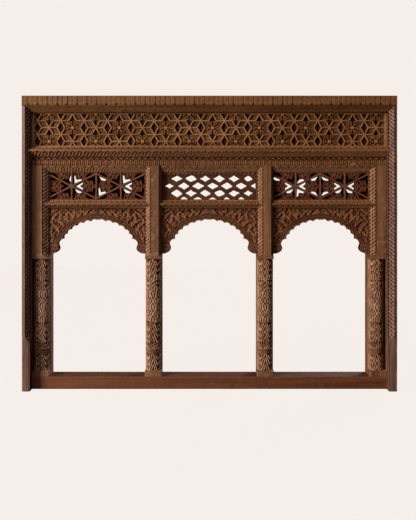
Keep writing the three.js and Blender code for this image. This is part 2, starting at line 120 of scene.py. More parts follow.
# Each shell has its points, quads, other faces and relief (0 in the deepest cut, 1 on the crest)
def makePiece(name, shells, slot, sharpAngle=50):
    points = np.concatenate([shell[0].reshape(-1, 3) for shell in shells])
    relief = np.concatenate([shell[3].reshape(-1) for shell in shells])
    corners, counts, base = [], [], 0
    for shellPoints, quads, others, _ in shells:
        corners.append(np.reshape(quads, -1) + base)
        counts.append(np.full(len(quads), 4))
        for face in others:
            corners.append(np.asarray(face) + base)
        counts.append(np.array([len(face) for face in others], int))
        base += shellPoints.reshape(-1, 3).shape[0]
    corners = np.concatenate(corners).astype(np.int32)
    counts = np.concatenate(counts).astype(int)
    starts = np.concatenate([[0], np.cumsum(counts)[:-1]]).astype(np.int32)
    mesh = bpy.data.meshes.new(name)
    mesh.vertices.add(len(points))
    mesh.vertices.foreach_set("co", (points * mm).astype(np.float32).reshape(-1))
    mesh.loops.add(len(corners))
    mesh.loops.foreach_set("vertex_index", corners)
    mesh.polygons.add(len(starts))
    mesh.polygons.foreach_set("loop_start", starts)
    mesh.update(calc_edges=True)
    mesh.attributes.new("relief", "FLOAT", "POINT").data.foreach_set("value", relief.astype(np.float32))
    work = bmesh.new()
    work.from_mesh(mesh)
    bmesh.ops.dissolve_degenerate(work, dist=1e-6, edges=work.edges)
    bmesh.ops.recalc_face_normals(work, faces=work.faces)
    work.to_mesh(mesh)
    work.free()
    mesh.validate()
    mesh.shade_smooth()
    mesh.set_sharp_from_angle(angle=math.radians(sharpAngle))
    mesh.polygons.foreach_set("use_smooth", ~wideFaces(mesh))
    mesh.materials.append(teaks[slot])
    piece = linked(name, mesh)
    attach(piece, "root")
    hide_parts(name)
    print("made", name, len(mesh.polygons), "faces")


# Quads between rows of points, each row a closed ring
def gridQuads(rows, columns):
    i = np.arange(rows - 1)[:, None]
    j = np.arange(columns)[None, :]
    a = i * columns + j
    b = i * columns + (j + 1) % columns
    return np.stack([a, b, b + columns, a + columns], -1).reshape(-1, 4)


def ringCaps(rows, columns):
    ring = np.arange(columns)
    return [ring[::-1], (rows - 1) * columns + ring]


def zone(at, rows=None, carve=None, cut=0.0, edge=3.0):
    return {"at": np.array(at, float), "rows": rows, "carve": carve, "cut": cut, "edge": edge}


plainRelief = 0.74  # of wood that isn't carved
# Worn arrises: rounded in shape, and their crest relief gives them the lighter crest colour, partly wear and
# partly painted highlight
wornArrisAndHighlight = {"depth": 1.6, "flat": 0.35, "crest": 0.97}


# A timber with a closed profile run along x or z. Carved zones have rows and a carving function of
# (station, share across, width) that gives 0 at the surface and 1 at the full cut. Plain zones get worn
# arrises. blank is the profile where strength is 0; reach gives each profile point its own two ends.
def carvedRun(stations, zones, axis="x", blank=None, strength=None, reach=None, seed=1):
    corners = np.array([z["at"] for z in zones])
    following = np.roll(corners, -1, axis=0)
    turn = np.sign(np.sum(corners[:, 0] * following[:, 1] - following[:, 0] * corners[:, 1]))
    base, blanks, starts, shares = [], [], [], []
    for k, z in enumerate(zones):
        width = np.linalg.norm(following[k] - corners[k])
        if z["rows"]:
            t = np.arange(z["rows"]) / z["rows"]
        else:
            e = min(z["edge"] / width, 0.3)
            t = np.array([0.0, e, 1 - e])
        starts.append(sum(len(s) for s in shares))
        shares.append(t)
        base.append(corners[k] + (following[k] - corners[k]) * t[:, None])
        if blank is not None:
            b = np.array(blank, float)
            blanks.append(b[k] + (b[(k + 1) % len(b)] - b[k]) * t[:, None])
    base = np.concatenate(base)
    count = len(base)
    s = np.asarray(stations, float)[:, None]
    amount = np.ones_like(s) if strength is None else strength(s)
    place = np.repeat(base[None], len(s), 0)
    if blank is not None:
        flat = np.concatenate(blanks)
        place = flat[None] + (base - flat)[None] * amount[:, :, None]
    relief = np.full((len(s), count), plainRelief)
    touched = np.zeros((len(s), count), bool)
    for k, z in enumerate(zones):
        edge = following[k] - corners[k]
        width = np.linalg.norm(edge)
        inward = np.array([-edge[1], edge[0]]) / width * turn
        t = np.append(shares[k], 1.0)[None, :]
        columns = (starts[k] + np.arange(t.shape[1])) % count
        if z["carve"] is None:
            rim = (t < 1e-6) | (t > 1 - 1e-6)
            grit = softNoise(s / 90, t * 5 + k * 7.3, seed)
            nick = softNoise(s / 23, t * 0 + k * 3.1, seed + 5) ** 4
            depth = np.where(rim, wornArrisAndHighlight["depth"] * (0.45 + 0.7 * grit + 0.9 * nick),
                             wornArrisAndHighlight["flat"] * grit)
            shade = np.where(rim, wornArrisAndHighlight["crest"], plainRelief) + 0 * s
        else:
            share = np.clip(z["carve"](s, t, width), 0, 1)
            depth = z["cut"] * share * amount + 0.5 * softNoise(s / 9, t * width / 9, seed + k)
            shade = plainRelief + (1 - share - plainRelief) * amount
        place[:, columns] += inward[None, None, :] * depth[:, :, None]
        merged = np.where(touched[:, columns], np.minimum(relief[:, columns], shade), shade)
        relief[:, columns] = merged
        touched[:, columns] = True
    along = np.repeat(s, count, 1)
    if reach is not None:
        low, high = reach(base)
        along = low[None, :] + (s - s[0]) / (s[-1] - s[0]) * (high - low)[None, :]
    p, q = place[..., 0], place[..., 1]
    points = np.stack([along, p, q] if axis == "x" else [p, q, along], -1)
    return points, gridQuads(len(s), count), ringCaps(len(s), count), relief


# Distance from points to a line of straight lengths, and how far along it the nearest place is
def lineDistance(px, pz, line):
    nearest = np.full(np.shape(px), 1e9)
    along = np.zeros(np.shape(px))
    run = 0.0
    for (ax, az), (bx, bz) in zip(line[:-1], line[1:]):
        length = math.hypot(bx - ax, bz - az)
        if length < 1e-9:
            continue
        t = np.clip(((px - ax) * (bx - ax) + (pz - az) * (bz - az)) / length ** 2, 0, 1)
        gap = np.hypot(px - ax - t * (bx - ax), pz - az - t * (bz - az))
        closer = gap < nearest
        nearest = np.where(closer, gap, nearest)
        along = np.where(closer, run + t * length, along)
        run += length
    return nearest, along


def insideOutline(px, pz, outline):
    inside = np.zeros(np.shape(px), bool)
    for (ax, az), (bx, bz) in zip(outline, np.roll(outline, -1, axis=0)):
        crosses = (az > pz) != (bz > pz)
        if az != bz:
            inside ^= crosses & (px < ax + (pz - az) * (bx - ax) / (bz - az))
    return inside


def spaced(low, high, cell):
    return np.linspace(low, high, int((high - low) / cell))


# A board seen from the front. keep is over 0 where there is wood, cut is how far its face is cut back,
# and its edges go straight through from the front to the back.
def carvedBoard(x, z, keep, cut, front, back, deepest):
    gx, gz = np.meshgrid(x, z)
    kept = keep(gx, gz)
    kept = np.where(np.abs(kept) < 0.02, 0.02, kept)
    solid = kept > 0
    ids = np.full(kept.shape, -1)
    ids[solid] = np.arange(solid.sum())
    spots = [np.stack([gx[solid], gz[solid]], 1)]
    total = int(solid.sum())

    def crossings(first, second):
        nonlocal total
        mask = solid[first] != solid[second]
        t = kept[first] / np.where(mask, kept[first] - kept[second], 1.0)
        made = np.full(mask.shape, -1)
        made[mask] = total + np.arange(mask.sum())
        total += int(mask.sum())
        spots.append(np.stack([(gx[first] + t * (gx[second] - gx[first]))[mask],
                               (gz[first] + t * (gz[second] - gz[first]))[mask]], 1))
        return made
    sideways = crossings(np.s_[:, :-1], np.s_[:, 1:])
    upward = crossings(np.s_[:-1, :], np.s_[1:, :])
    around = np.stack([ids[:-1, :-1], sideways[:-1], ids[:-1, 1:], upward[:, 1:], ids[1:, 1:], sideways[1:],
                       ids[1:, :-1], upward[:, :-1]], -1).reshape(-1, 8)
    whole = (around[:, ::2] >= 0).all(1)
    quads = around[whole][:, ::2]
    partial = around[~whole & (around >= 0).any(1)]
    pieces = [face[face >= 0] for face in partial if (face >= 0).sum() > 2]

    directed = [np.stack([quads, np.roll(quads, -1, 1)], -1).reshape(-1, 2)]
    directed += [np.stack([face, np.roll(face, -1)], 1) for face in pieces]
    directed = np.concatenate(directed)
    onward = directed[:, 0] * total + directed[:, 1]
    returning = directed[:, 1] * total + directed[:, 0]
    rim = directed[~np.isin(onward, returning)]
    following = dict(rim.tolist())
    rimIds = np.array(sorted(following))
    place = np.full(total, -1)
    place[rimIds] = np.arange(len(rimIds))
    spots = np.concatenate(spots)
    depth = cut(spots[:, 0], spots[:, 1])
    depth = np.clip(depth, 0, back - front - 3)
    faceY = front + depth
    middleY = np.maximum(faceY[rimIds] + 1, front + 0.6 * (back - front))
    face = np.stack([spots[:, 0], faceY, spots[:, 1]], 1)
    middle = np.stack([spots[rimIds, 0], middleY, spots[rimIds, 1]], 1)
    rear = np.stack([spots[rimIds, 0], np.full(len(rimIds), float(back)), spots[rimIds, 1]], 1)
    points = np.concatenate([face, middle, rear])
    count = len(rimIds)
    a, b = rim[:, 0], rim[:, 1]
    ma, mb = total + place[a], total + place[b]
    walls = np.concatenate([np.stack([b, a, ma, mb], 1), np.stack([mb, ma, ma + count, mb + count], 1)])
    loops, left = [], dict(following)
    while left:
        start = next(iter(left))
        loop = [start]
        here = left.pop(start)
        while here != start and here in left:
            loop.append(here)
            here = left.pop(here)
        loops.append(loop)
    order = [i for loop in loops for i in loop]
    flat = tessellate_polygon([[Vector((*spots[i], 0)) for i in loop] for loop in loops])
    rearFaces = [[total + count + place[order[i]] for i in triangle] for triangle in flat]
    # Relief falls as the cut deepens and is near 0 on the walls of openings; the material paints low relief
    # in dark painted shade
    relief = np.concatenate([1 - np.clip(depth / deepest, 0, 1), np.full(count, 0.04), np.full(count, 0.7)])
    return points, np.concatenate([quads, walls]), pieces + rearFaces, relief


# A node with its settings; its inputs are values, or sockets that it is joined to
def nodeIn(tree, kind, settings=None, **values):
    made = tree.nodes.new(kind)
    for key, value in (settings or {}).items():
        setattr(made, key, value)
    for key, value in values.items():
        socket = made.inputs[int(key[1:])] if key[1:].isdigit() else made.inputs[key.replace("_", " ")]
        if isinstance(value, bpy.types.NodeSocket):
            tree.links.new(value, socket)
        else:
            socket.default_value = value
    return made


# What repeats grows on node trees. Each input has a name, and its value is set before the tree is read.
class Tree:
    def __init__(self, name, **inputs):
        self.group = bpy.data.node_groups.new(name, "GeometryNodeTree")
        self.group.interface.new_socket("Geometry", in_out="OUTPUT", socket_type="NodeSocketGeometry")
        for title, kind in inputs.items():
            self.group.interface.new_socket(title, in_out="INPUT", socket_type="NodeSocket" + kind)
        self.given = self.group.nodes.new("NodeGroupInput").outputs

    def node(self, kind, settings=None, **values):
        return nodeIn(self.group, kind, settings, **values)

    def maths(self, operation, a, b=0.0):
        return self.node("ShaderNodeMath", {"operation": operation}, i0=a, i1=b).outputs[0]

    # Ends the tree with real geometry in one wood
    def finish(self, parts):
        join = self.node("GeometryNodeJoinGeometry")
        for part in parts:
            self.group.links.new(part, join.inputs[0])
        real = self.node("GeometryNodeRealizeInstances", Geometry=join.outputs[0])
        wood = self.node("GeometryNodeSetMaterial", Geometry=real.outputs[0], Material=self.given["Wood"])
        self.node("NodeGroupOutput", i0=wood.outputs[0])

    def grow(self, name, **values):
        holder = linked(name, bpy.data.meshes.new(name))
        growth = holder.modifiers.new("growth", "NODES")
        growth.node_group = self.group
        for item in self.group.interface.items_tree:
            if item.in_out == "INPUT":
                growth[item.identifier] = values[item.name]
        depsgraph = bpy.context.evaluated_depsgraph_get()
        mesh = bpy.data.meshes.new_from_object(holder.evaluated_get(depsgraph),
                                               preserve_all_data_layers=True, depsgraph=depsgraph)
        bpy.data.objects.remove(holder)
        return mesh


def shellOf(mesh):
    corners = readAll(mesh.loops, "vertex_index", np.int32)
    counts = readAll(mesh.polygons, "loop_total", np.int32)
    starts = np.concatenate([[0], np.cumsum(counts)[:-1]])
    quads = corners[starts[counts == 4][:, None] + np.arange(4)]
    others = [corners[i:i + n] for i, n in zip(starts[counts != 4], counts[counts != 4])]
    relief = readAll(mesh.attributes["relief"].data, "value", np.float32)
    return readAll(mesh.vertices, "co", np.float32, 3) / mm, quads, others, relief


# A small solid to be set out many times: rings of points from the wood up, closed with a cap on top and
# below. reliefs has a value for each ring or for each point.
def unitObject(name, rings, reliefs):
    count = len(rings[0])
    points = np.concatenate([np.array(ring, float) for ring in rings])
    caps = [cap.tolist() for cap in ringCaps(len(rings), count)]
    mesh = bpy.data.meshes.new(name)
    mesh.from_pydata((points * mm).tolist(), [], gridQuads(len(rings), count).tolist() + caps)
    relief = mesh.attributes.new("relief", "FLOAT", "POINT")
    values = reliefs if len(reliefs) == len(points) else np.repeat(reliefs, count)
    relief.data.foreach_set("value", np.array(values, np.float32))
    return linked(name, mesh)


# Carvings are functions of station, share across and width. The values that follow those are given here.
def carving(function, *values):
    return lambda s, t, width: function(s, t, width, *values)


def flipAcross(carve):
    return lambda s, t, width: carve(s, 1 - t, width)


def leafRow(s, t, width, pitch, lean, vein):
    f = fract(s / pitch + lean * (t - 0.5) * width / pitch)
    valley = 1 - np.sin(np.pi * f) ** 0.7
    rib = vein * hump(f, 0.5, 0.09) * ramp(t, 0.1, 0.3)
    return valley * 0.6 + rib + ramp(np.abs(2 * t - 1), 0.8, 1.0) * 0.3


# Two strands plaited round a row of drilled eyes, with fine cuts across them
def plait(s, t, width, pitch, swing):
    s = s + 3.0 * (softNoise(s / 28, t * 2, 5) - 0.5)
    a = 2 * t - 1 + 0.12 * (softNoise(s / 11, t * 3, 6) - 0.5)
    turn = np.pi * s / pitch
    first, second = a - swing * np.sin(turn), a + swing * np.sin(turn)
    over = np.cos(turn + 0.5) > 0  # which strand lies on top
    top, under = np.where(over, first, second), np.where(over, second, first)
    halfStrand = 0.42
    high = np.clip(1.25 - (top / halfStrand) ** 2, 0, 1)
    covered = ramp(np.abs(top), halfStrand * 0.8, halfStrand * 1.5)
    low = np.clip(1.25 - (under / halfStrand) ** 2, 0, 1) * covered
    depth = 0.55 - 0.55 * np.maximum(high, low * 0.85) + spot(offset(s, pitch), a * width / 2, 2.3)
    cuts = 0.4 * grooved((s + 3.0 * np.sign(first * second) * a) / 5.6, 0.15)
    return depth + cuts + 0.25 * ramp(np.abs(2 * t - 1), 0.9, 0.98)


def hangingPetals(s, t, width, pitch):
    f = fract(s / pitch + 0.5) - 0.5
    far = np.abs(f)
    beside = (0.5 - far) * pitch
    foot = 0.72 + 0.2 * np.sqrt(np.clip(1 - (2 * f) ** 2, 0, 1))
    above = ramp(t, foot, foot - 0.05)
    seam = 0.75 * hump(beside, 0, 1.5) * ramp(t, 0.0, 0.1) * above
    hairs = 0.4 * (hump(beside, 5.5, 1.0) + hump(far * pitch, 0, 1.1)) * ramp(t, 0.05, 0.15) * above
    veins = 0.35 * grooved(t * width / 6.5 + 1.8 * far, 0.22) * ramp(beside, 6, 9) * above
    arc = 0.55 * hump((t - foot) * width, 0, 1.4)
    hole = 1.2 * spot(beside, (t - 0.86) * width, 3.2)
    low = 0.3 * ramp(t, foot, foot + 0.05) + 0.3 * grooved(s / 7.2, 0.2) * ramp(t, 0.9, 0.97)
    return seam + hairs + veins + arc + hole + low


def standingPetals(s, t, width, pitch, top):
    sway = fract(s / pitch + 0.12 * (softNoise(s / 45, s * 0, 8) - 0.5))
    f = np.abs(sway - 0.5) * 2
    arch = np.clip(1 - (f / 0.93) ** 2.4, 0, 1) ** 0.5 * top
    gap = np.minimum(np.abs(t - arch) * width, np.abs(f - 0.93) * pitch / 2 + 30 * (t > top * 0.7))
    line = np.clip(1.25 - gap / 2.6, 0, 1)
    tongue = (f < 0.50) & (t < 0.60 - 0.5 * f ** 2)
    hole = hump(f, 1.0, 0.2) * hump(t * width, 0.84 * width, 3.2)
    cuts = 0.25 * grooved(t * width / 7.0 + f, 0.2)
    inner = np.where(tongue, 0.3 + 0.6 * hump(f, 0, 0.13) + cuts, 0.85)
    return np.where(line > 0.3, 0.8 - 0.62 * line + cuts, inner) + hole


def dotsAndStrokes(s, t, width, dotPitch, strokePitch, dotAt):
    dot = 1.1 * spot(offset(s, dotPitch), (t - dotAt) * width, 3.2)
    f = fract(s / strokePitch + 0.6 * t * width / strokePitch)
    strokes = (0.5 + 0.5 * np.cos(2 * np.pi * f)) ** 1.3 * ramp(t, dotAt + 0.12, dotAt + 0.3)
    fillet = 0.5 * hump(t, dotAt + 0.16, 0.05)
    return dot + 0.7 * strokes * (1 - ramp(t, 0.95, 1.0)) + fillet


# Slanting leaves that reach down to the nose of a moulding, with a row of drilled dots behind them
def slantedLeaves(s, t, width, pitch, dotPitch):
    f = fract(s / pitch - 0.7 * t * width / pitch)
    leaf = np.sin(np.pi * f) ** 0.6 * ramp(t, 0.02, 0.12) * ramp(t, 0.72, 0.6)
    vein = 0.5 * hump(f, 0.5, 0.1) * ramp(t, 0.2, 0.3)
    dot = 1.1 * spot(offset(s, dotPitch), (t - 0.78) * width, 3.0)
    back = 0.35 * grooved(s / 6.0, 0.2) * ramp(t, 0.8, 0.86)
    return 0.12 + 0.85 * (1 - leaf) * ramp(t, 0.74, 0.66) + vein * leaf + dot + back


# Old teak, dry and handled. grain is the axis that the fibres follow, crest the lighter colour of the high
# places, partly wear and dust and partly painted highlight, tooling how the gouge marks on carved wood show
# as dark and light flecks, partly painted shade and glints, and warm how much redder it is to the right.
teakLooks = {
    "head_wood": dict(grain="x", dark=(0.014, 0.0036, 0.0008), mid=(0.08, 0.027, 0.0058),
                      light=(0.185, 0.078, 0.024), crest=(0.215, 0.098, 0.036), scar=0.35, tooling=0.55,
                      bump=0.5, shine=0.2, warm=0.75),
    "jamb_wood": dict(grain="z", dark=(0.014, 0.0034, 0.0014), mid=(0.058, 0.0215, 0.0115),
                      light=(0.165, 0.08, 0.052), crest=(0.4, 0.225, 0.175), scar=0.5, tooling=0.5,
                      bump=0.6, shine=0.42, warm=0.35),
    "frieze_wood": dict(grain="x", dark=(0.013, 0.003, 0.0007), mid=(0.112, 0.039, 0.011),
                        light=(0.32, 0.15, 0.06), crest=(0.3, 0.145, 0.062), scar=0.25, tooling=0.6,
                        bump=0.4, shine=0.25, warm=0.6),
    "rail_wood": dict(grain="x", dark=(0.014, 0.0036, 0.0011), mid=(0.125, 0.044, 0.015),
                      light=(0.29, 0.132, 0.058), crest=(0.34, 0.165, 0.084), scar=0.3, tooling=0.6,
                      bump=0.5, shine=0.25, warm=0.7),
    "post_wood": dict(grain="z", dark=(0.014, 0.0036, 0.0011), mid=(0.088, 0.032, 0.0095),
                      light=(0.205, 0.092, 0.038), crest=(0.48, 0.275, 0.185), scar=0.4, tooling=0.35,
                      bump=0.5, shine=0.3, warm=0.5),
    "panel_wood": dict(grain="x", dark=(0.012, 0.0028, 0.0008), mid=(0.066, 0.0185, 0.0058),
                       light=(0.14, 0.05, 0.02), crest=(0.235, 0.1, 0.046), scar=0.25, tooling=0.65,
                       bump=0.45, shine=0.2, warm=0.5),
    "sill_wood": dict(grain="x", dark=(0.026, 0.0062, 0.002), mid=(0.078, 0.0205, 0.006),
                      light=(0.135, 0.043, 0.014), crest=(0.18, 0.085, 0.05), scar=0.5, tooling=0.0,
                      bump=0.5, shine=0.3, warm=0.6),
}


def oldTeak(name, look, seed):
    material = bpy.data.materials.new(name)
    material.use_nodes = True
    tree = material.node_tree
    shader = tree.nodes["Principled BSDF"]

    def node(kind, settings=None, **values):
        return nodeIn(tree, kind, settings, **values)

    def noise(vector, scale, detail, rough):
        return node("ShaderNodeTexNoise", Vector=vector, Scale=scale, Detail=detail,
                    Roughness=rough).outputs["Fac"]

    def spread(value, a, b, low=0.0, high=1.0):
        made = node("ShaderNodeMapRange", {"interpolation_type": "SMOOTHSTEP"}, Value=value, From_Min=a,
                    From_Max=b, To_Min=low, To_Max=high)
        return made.outputs["Result"]

    def mixed(factor, a, b, blend="MIX"):
        a, b = [(*v, 1.0) if isinstance(v, tuple) else v for v in (a, b)]
        return node("ShaderNodeMix", {"data_type": "RGBA", "blend_type": blend}, i0=factor, i6=a,
                    i7=b).outputs[2]

    def maths(operation, a, b):
        return node("ShaderNodeMath", {"operation": operation}, i0=a, i1=b).outputs[0]

    def times(a, b):
        return maths("MULTIPLY", a, b)

    place = node("ShaderNodeTexCoord").outputs["Object"]
    stretch = {"x": (2.2, 42.0, 42.0), "z": (42.0, 42.0, 2.2)}[look["grain"]]
    fibres = node("ShaderNodeMapping", Vector=place, Scale=stretch,
                  Location=(seed, seed * 0.7, seed * 1.3)).outputs["Vector"]
    grain = noise(fibres, 1.0, 5.0, 0.62)
    pores = noise(fibres, 9.0, 2.0, 0.6)
    patches = noise(place, 5.5 + seed * 0.1, 4.0, 0.6)
    blotches = noise(place, 34.0, 4.0, 0.65)
    gouge = noise(place, 300.0, 2.0, 0.75)
    relief = node("ShaderNodeAttribute", {"attribute_name": "relief"}).outputs["Fac"]

    # Grain and pores, and painted shade that darkens the cuts by their relief
    body = mixed(spread(grain, 0.30, 0.72), look["mid"], look["light"])
    body = mixed(spread(pores, 0.40, 0.27, 0.0, 0.55), body, look["dark"])
    shade = mixed(spread(patches, 0.35, 0.68, 0.0, 0.45), body, look["mid"])
    body = mixed(spread(relief, 0.68, 0.12, 0.0, 0.93), shade, look["dark"])
    # Crests lighter by relief, partly wear and partly painted highlight, and dust in patches
    crestWearAndHighlight = times(spread(relief, 0.76, 0.98, 0.0, 0.85), spread(blotches, 0.35, 0.65, 0.4, 1.0))
    body = mixed(crestWearAndHighlight, body, look["crest"])
    dusty = times(spread(blotches, 0.48, 0.72), spread(patches, 0.38, 0.62, 0.2, 1.0))
    body = mixed(times(dusty, spread(relief, 0.2, 0.8, 0.0, 0.3)), body, look["crest"])
    # Marks of the gouge, only on carved wood: dark and light flecks, partly tool marks and partly painted
    # shade and glints
    offPlain = maths("ABSOLUTE", maths("SUBTRACT", relief, plainRelief), 0.0)
    tooled = spread(offPlain, 0.012, 0.05, 0.0, look["tooling"])
    body = mixed(times(tooled, spread(gouge, 0.50, 0.36)), body, look["dark"])
    body = mixed(times(tooled, spread(gouge, 0.58, 0.72, 0.0, 0.8)), body, look["crest"])
    stain = spread(noise(place, 13.0, 5.0, 0.7), 0.60, 0.75, 0.0, look["scar"])
    body = mixed(stain, body, look["dark"])
    across = node("ShaderNodeSeparateXYZ", Vector=place).outputs["X"]
    body = mixed(spread(across, -0.75, 0.75, 0.0, look["warm"]), body, (0.80, 0.66, 0.46), "MULTIPLY")

    height = maths("ADD", times(grain, 0.6), times(pores, 0.45))
    height = maths("ADD", height, times(noise(place, 210.0, 3.0, 0.6), 0.35))
    height = maths("ADD", height, times(times(gouge, tooled), 2.6))
    bump = node("ShaderNodeBump", Strength=look["bump"], Distance=0.0016, Height=height)
    for title, value in (("Base Color", body), ("Normal", bump.outputs["Normal"]),
                         ("Roughness", spread(maths("ADD", grain, blotches), 0.7, 1.3, 0.52, 0.86)),
                         ("Specular IOR Level", spread(relief, 0.3, 0.95, 0.02, look["shine"]))):
        tree.links.new(value, shader.inputs[title])
    return material


teaks = {slot: oldTeak(slot, look, seed=i * 1.7) for i, (slot, look) in enumerate(teakLooks.items())}
print("woods ready")


# Uprights at the two sides
jambLook = {"leftAcross": 18, "rightAcross": 27, "chamferDeep": 30, "stopFrom": 204, "stopTo": 248,
            "step": 1.9, "rows": 22, "cut": 6.0, "plaitPitch": 17.0, "swing": 0.45, "slack": 0.4}


def makeJamb(node, side, seed):
    x0, x1, y0, y1, z0, z1 = span(node)
    look = jambLook
    inner, outer = (x0, x1) if side > 0 else (x1, x0)
    across = look["rightAcross"] if side > 0 else -look["leftAcross"]
    zones = [
        zone((outer, y0)),
        zone((inner + across, y0), look["rows"], carving(plait, look["plaitPitch"], look["swing"]),
             look["cut"]),
        zone((inner, y0 + look["chamferDeep"]), edge=4),
        zone((inner, y1)),
        zone((outer, y1)),
    ]
    blank = [(outer, y0), (inner + 0.4 * side, y0), (inner, y0 + 0.6), (inner, y1), (outer, y1)]
    low = np.linspace(z0, look["stopFrom"] - 8, 14)
    high = np.arange(look["stopFrom"] - 6, z1 + 0.01, look["step"])
    stations = np.concatenate([low, high[:-1], [z1]])
    shell = carvedRun(stations, zones, "z", blank, lambda s: ramp(s, look["stopFrom"], look["stopTo"]),
                      seed=seed)
    makePiece(node, [shell], "jamb_wood")


makeJamb("jamb_left", -1, 8)
makeJamb("jamb_right", 1, 3)


# Beams that run across
def acrossRun(x0, x1, zones, seed, reach=None, step=2.4):
    return carvedRun(np.linspace(x0, x1, int((x1 - x0) / step) + 1), zones, reach=reach, seed=seed)


# Zones of a beam whose front is carved, upright or bevelled, with a flat back
def fronted(foot, top, back, rows, carve, cut):
    return [zone(foot, rows, carve, cut), zone(top), zone((back, top[1])), zone((back, foot[1]))]


# The mitre: the further forward a beam lies, the further it reaches onto the chamfers of the jambs
def betweenJambs(x0, x1):
    inner, _, front = span("jamb_right")[:3]
    deep, slack = jambLook["chamferDeep"], jambLook["slack"]

    def reach(base):
        share = np.clip((front + deep - base[:, 0]) / deep, 0, 1)
        low = np.maximum(x0, -inner + slack - jambLook["leftAcross"] * share)
        return low, np.minimum(x1, inner - slack + jambLook["rightAcross"] * share)
    return reach


headLook = {"face": 45, "tuck": 0.3, "bevelDeep": 30, "petal": 43.0, "faceRows": 22, "faceCut": 4.0,
            "strokes": 12.0, "lean": 0.8, "vein": 0.2, "bevelRows": 20, "bevelCut": 2.6}


def makeHead():
    x0, x1, y0, y1, z0, z1 = span("head_rail")
    look = headLook
    faceFoot = z1 - look["face"] + look["tuck"]
    petals = flipAcross(carving(hangingPetals, look["petal"]))
    leaves = carving(leafRow, look["strokes"], look["lean"], look["vein"])
    face = fronted((y0, faceFoot), (y0, z1), y1, look["faceRows"], petals, look["faceCut"])
    bevel = fronted((y0 + look["bevelDeep"], z0), (y0 + 0.5, faceFoot), y1, look["bevelRows"], leaves,
                    look["bevelCut"])
    shells = [acrossRun(x0, x1, face, 21), acrossRun(x0, x1, bevel, 22, betweenJambs(x0, x1))]
    makePiece("head_rail", shells, "head_wood")


makeHead()


# A rail with a ridge along its front: strokes under the ridge and slanting leaves over it
def makeRidged(node, look, reach, seed):
    x0, x1, y0, y1, z0, z1 = span(node)
    ridge, half, back = look["ridge"], look["halfRidge"], y0 + look["deep"]
    strokes = flipAcross(carving(dotsAndStrokes, look["dots"], look["strokes"], look["dotsAt"]))
    leaves = carving(slantedLeaves, look["leaf"], look["dots"])
    zones = [
        zone((back, z0), look["rows"], strokes, look["cut"]),
        zone((y0, ridge - half), look["ridgeRows"], lambda s, t, w: 0.3 + 0 * s * t, look["ridgeCut"]),
        zone((y0, ridge + half), look["rows"], leaves, look["cut"]),
        zone((back, z1)),
        zone((y1, z1)),
        zone((y1, z0)),
    ]
    makePiece(node, [acrossRun(x0, x1, zones, seed, reach)], "rail_wood")


mouldingLook = {"ridge": 1061, "halfRidge": 2, "deep": 33, "rows": 18, "cut": 5.5, "ridgeRows": 2,
                "ridgeCut": 1.5, "leaf": 14.5, "dots": 31.0, "dotsAt": 0.2, "strokes": 15.5}
makeRidged("upper_moulding", mouldingLook, betweenJambs(*span("upper_moulding")[:2]), 31)


# The square posts, and how far their chamfers come across them
postLook = {"chamferDeep": 22, "stop": 18, "foot": 579, "plankFront": 13, "step": 1.8, "plaitPitch": 16.0,
            "swing": 0.5, "rows": 16, "cut": 5.0}
# Each post: its left and right chamfer, and the middle and radius of its column
posts = {"post_left": (0, 28, -747, 31), "post_centre_left": (24, 10, -250, 34),
         "post_centre_right": (24, 10, 250, 34), "post_right": (28, 0, 747, 31)}
# The chamfers at the left and right end of each bay
bays = {"left": (28, 24), "centre": (10, 24), "right": (10, 28)}


def betweenPosts(x0, x1, y0, bay):
    leftAcross, rightAcross = bays[bay]

    def reach(base):
        share = np.clip((base[:, 0] - y0) / postLook["chamferDeep"], 0, 1)
        return x0 + leftAcross * share, x1 - rightAcross * share
    return reach


lintelLook = {"fascia": 994, "tuck": 0.3, "petal": 27.0, "petalTop": 0.80, "faceRows": 20, "faceCut": 4.5,
              "dots": 33.5, "dotsAt": 0.2, "strokes": 14.0, "bevelRows": 16, "bevelCut": 3.6,
              "postStep": -10, "chipAt": 641.0, "chipHalf": 24.0, "chipHigh": 0.28}


# A splinter has come off the foot of the fascia and left a pale place
def chipped(carve):
    def carveRound(s, t, width):
        half = lintelLook["chipHalf"] * (1 - t / lintelLook["chipHigh"])
        return np.where(np.abs(s - lintelLook["chipAt"]) < half, 0.0, carve(s, t, width))
    return carveRound


def makeLintel():
    x0, x1, y0, y1, z0, z1 = span("lintel")
    look = lintelLook
    foot = look["fascia"]
    petals = chipped(carving(standingPetals, look["petal"], look["petalTop"]))
    strokes = flipAcross(carving(dotsAndStrokes, look["dots"], look["strokes"], look["dotsAt"]))
    face = fronted((y0, foot + look["tuck"]), (y0, z1), y1, look["faceRows"], petals, look["faceCut"])
    bevel = fronted((look["postStep"], z0), (y0, foot), y1, look["bevelRows"], strokes, look["bevelCut"])
    shells = [acrossRun(x0, x1, face, 41)]
    for bay in bays:
        low, high = span("transom_" + bay)[:2]  # the bevel reaches as far as the transom's points
        shells.append(acrossRun(low, high, bevel, 42, betweenPosts(low, high, y0, bay)))
    makePiece("lintel", shells, "rail_wood")


makeLintel()


transomLook = {"ridge": 821, "halfRidge": 1, "deep": 22, "rows": 12, "cut": 5.0, "ridgeRows": 1,
               "ridgeCut": 1.2, "leaf": 13.0, "dots": 26.0, "dotsAt": 0.22, "strokes": 13.0}
for seed, bay in enumerate(bays, 50):
    low, high, front = span("transom_" + bay)[:3]
    makeRidged("transom_" + bay, transomLook, betweenPosts(low, high, front, bay), seed)


def makeSill():
    x0, x1, y0, y1, z0, z1 = span("sill")
    zones = [zone((y0, z0)), zone((y0, z1), edge=5), zone((y1, z1)), zone((y1, z0))]
    makePiece("sill", [acrossRun(x0, x1, zones, 61, step=6)], "sill_wood")


makeSill()
print("beams done")


# Posts: a chamfered square above, and below it a column of lotus leaves before a plain plank
columnLook = {"centreY": 3, "radius": 34, "sweep": 112, "around": 98, "step": 1.8, "plinth": 25, "cut": 6.8}
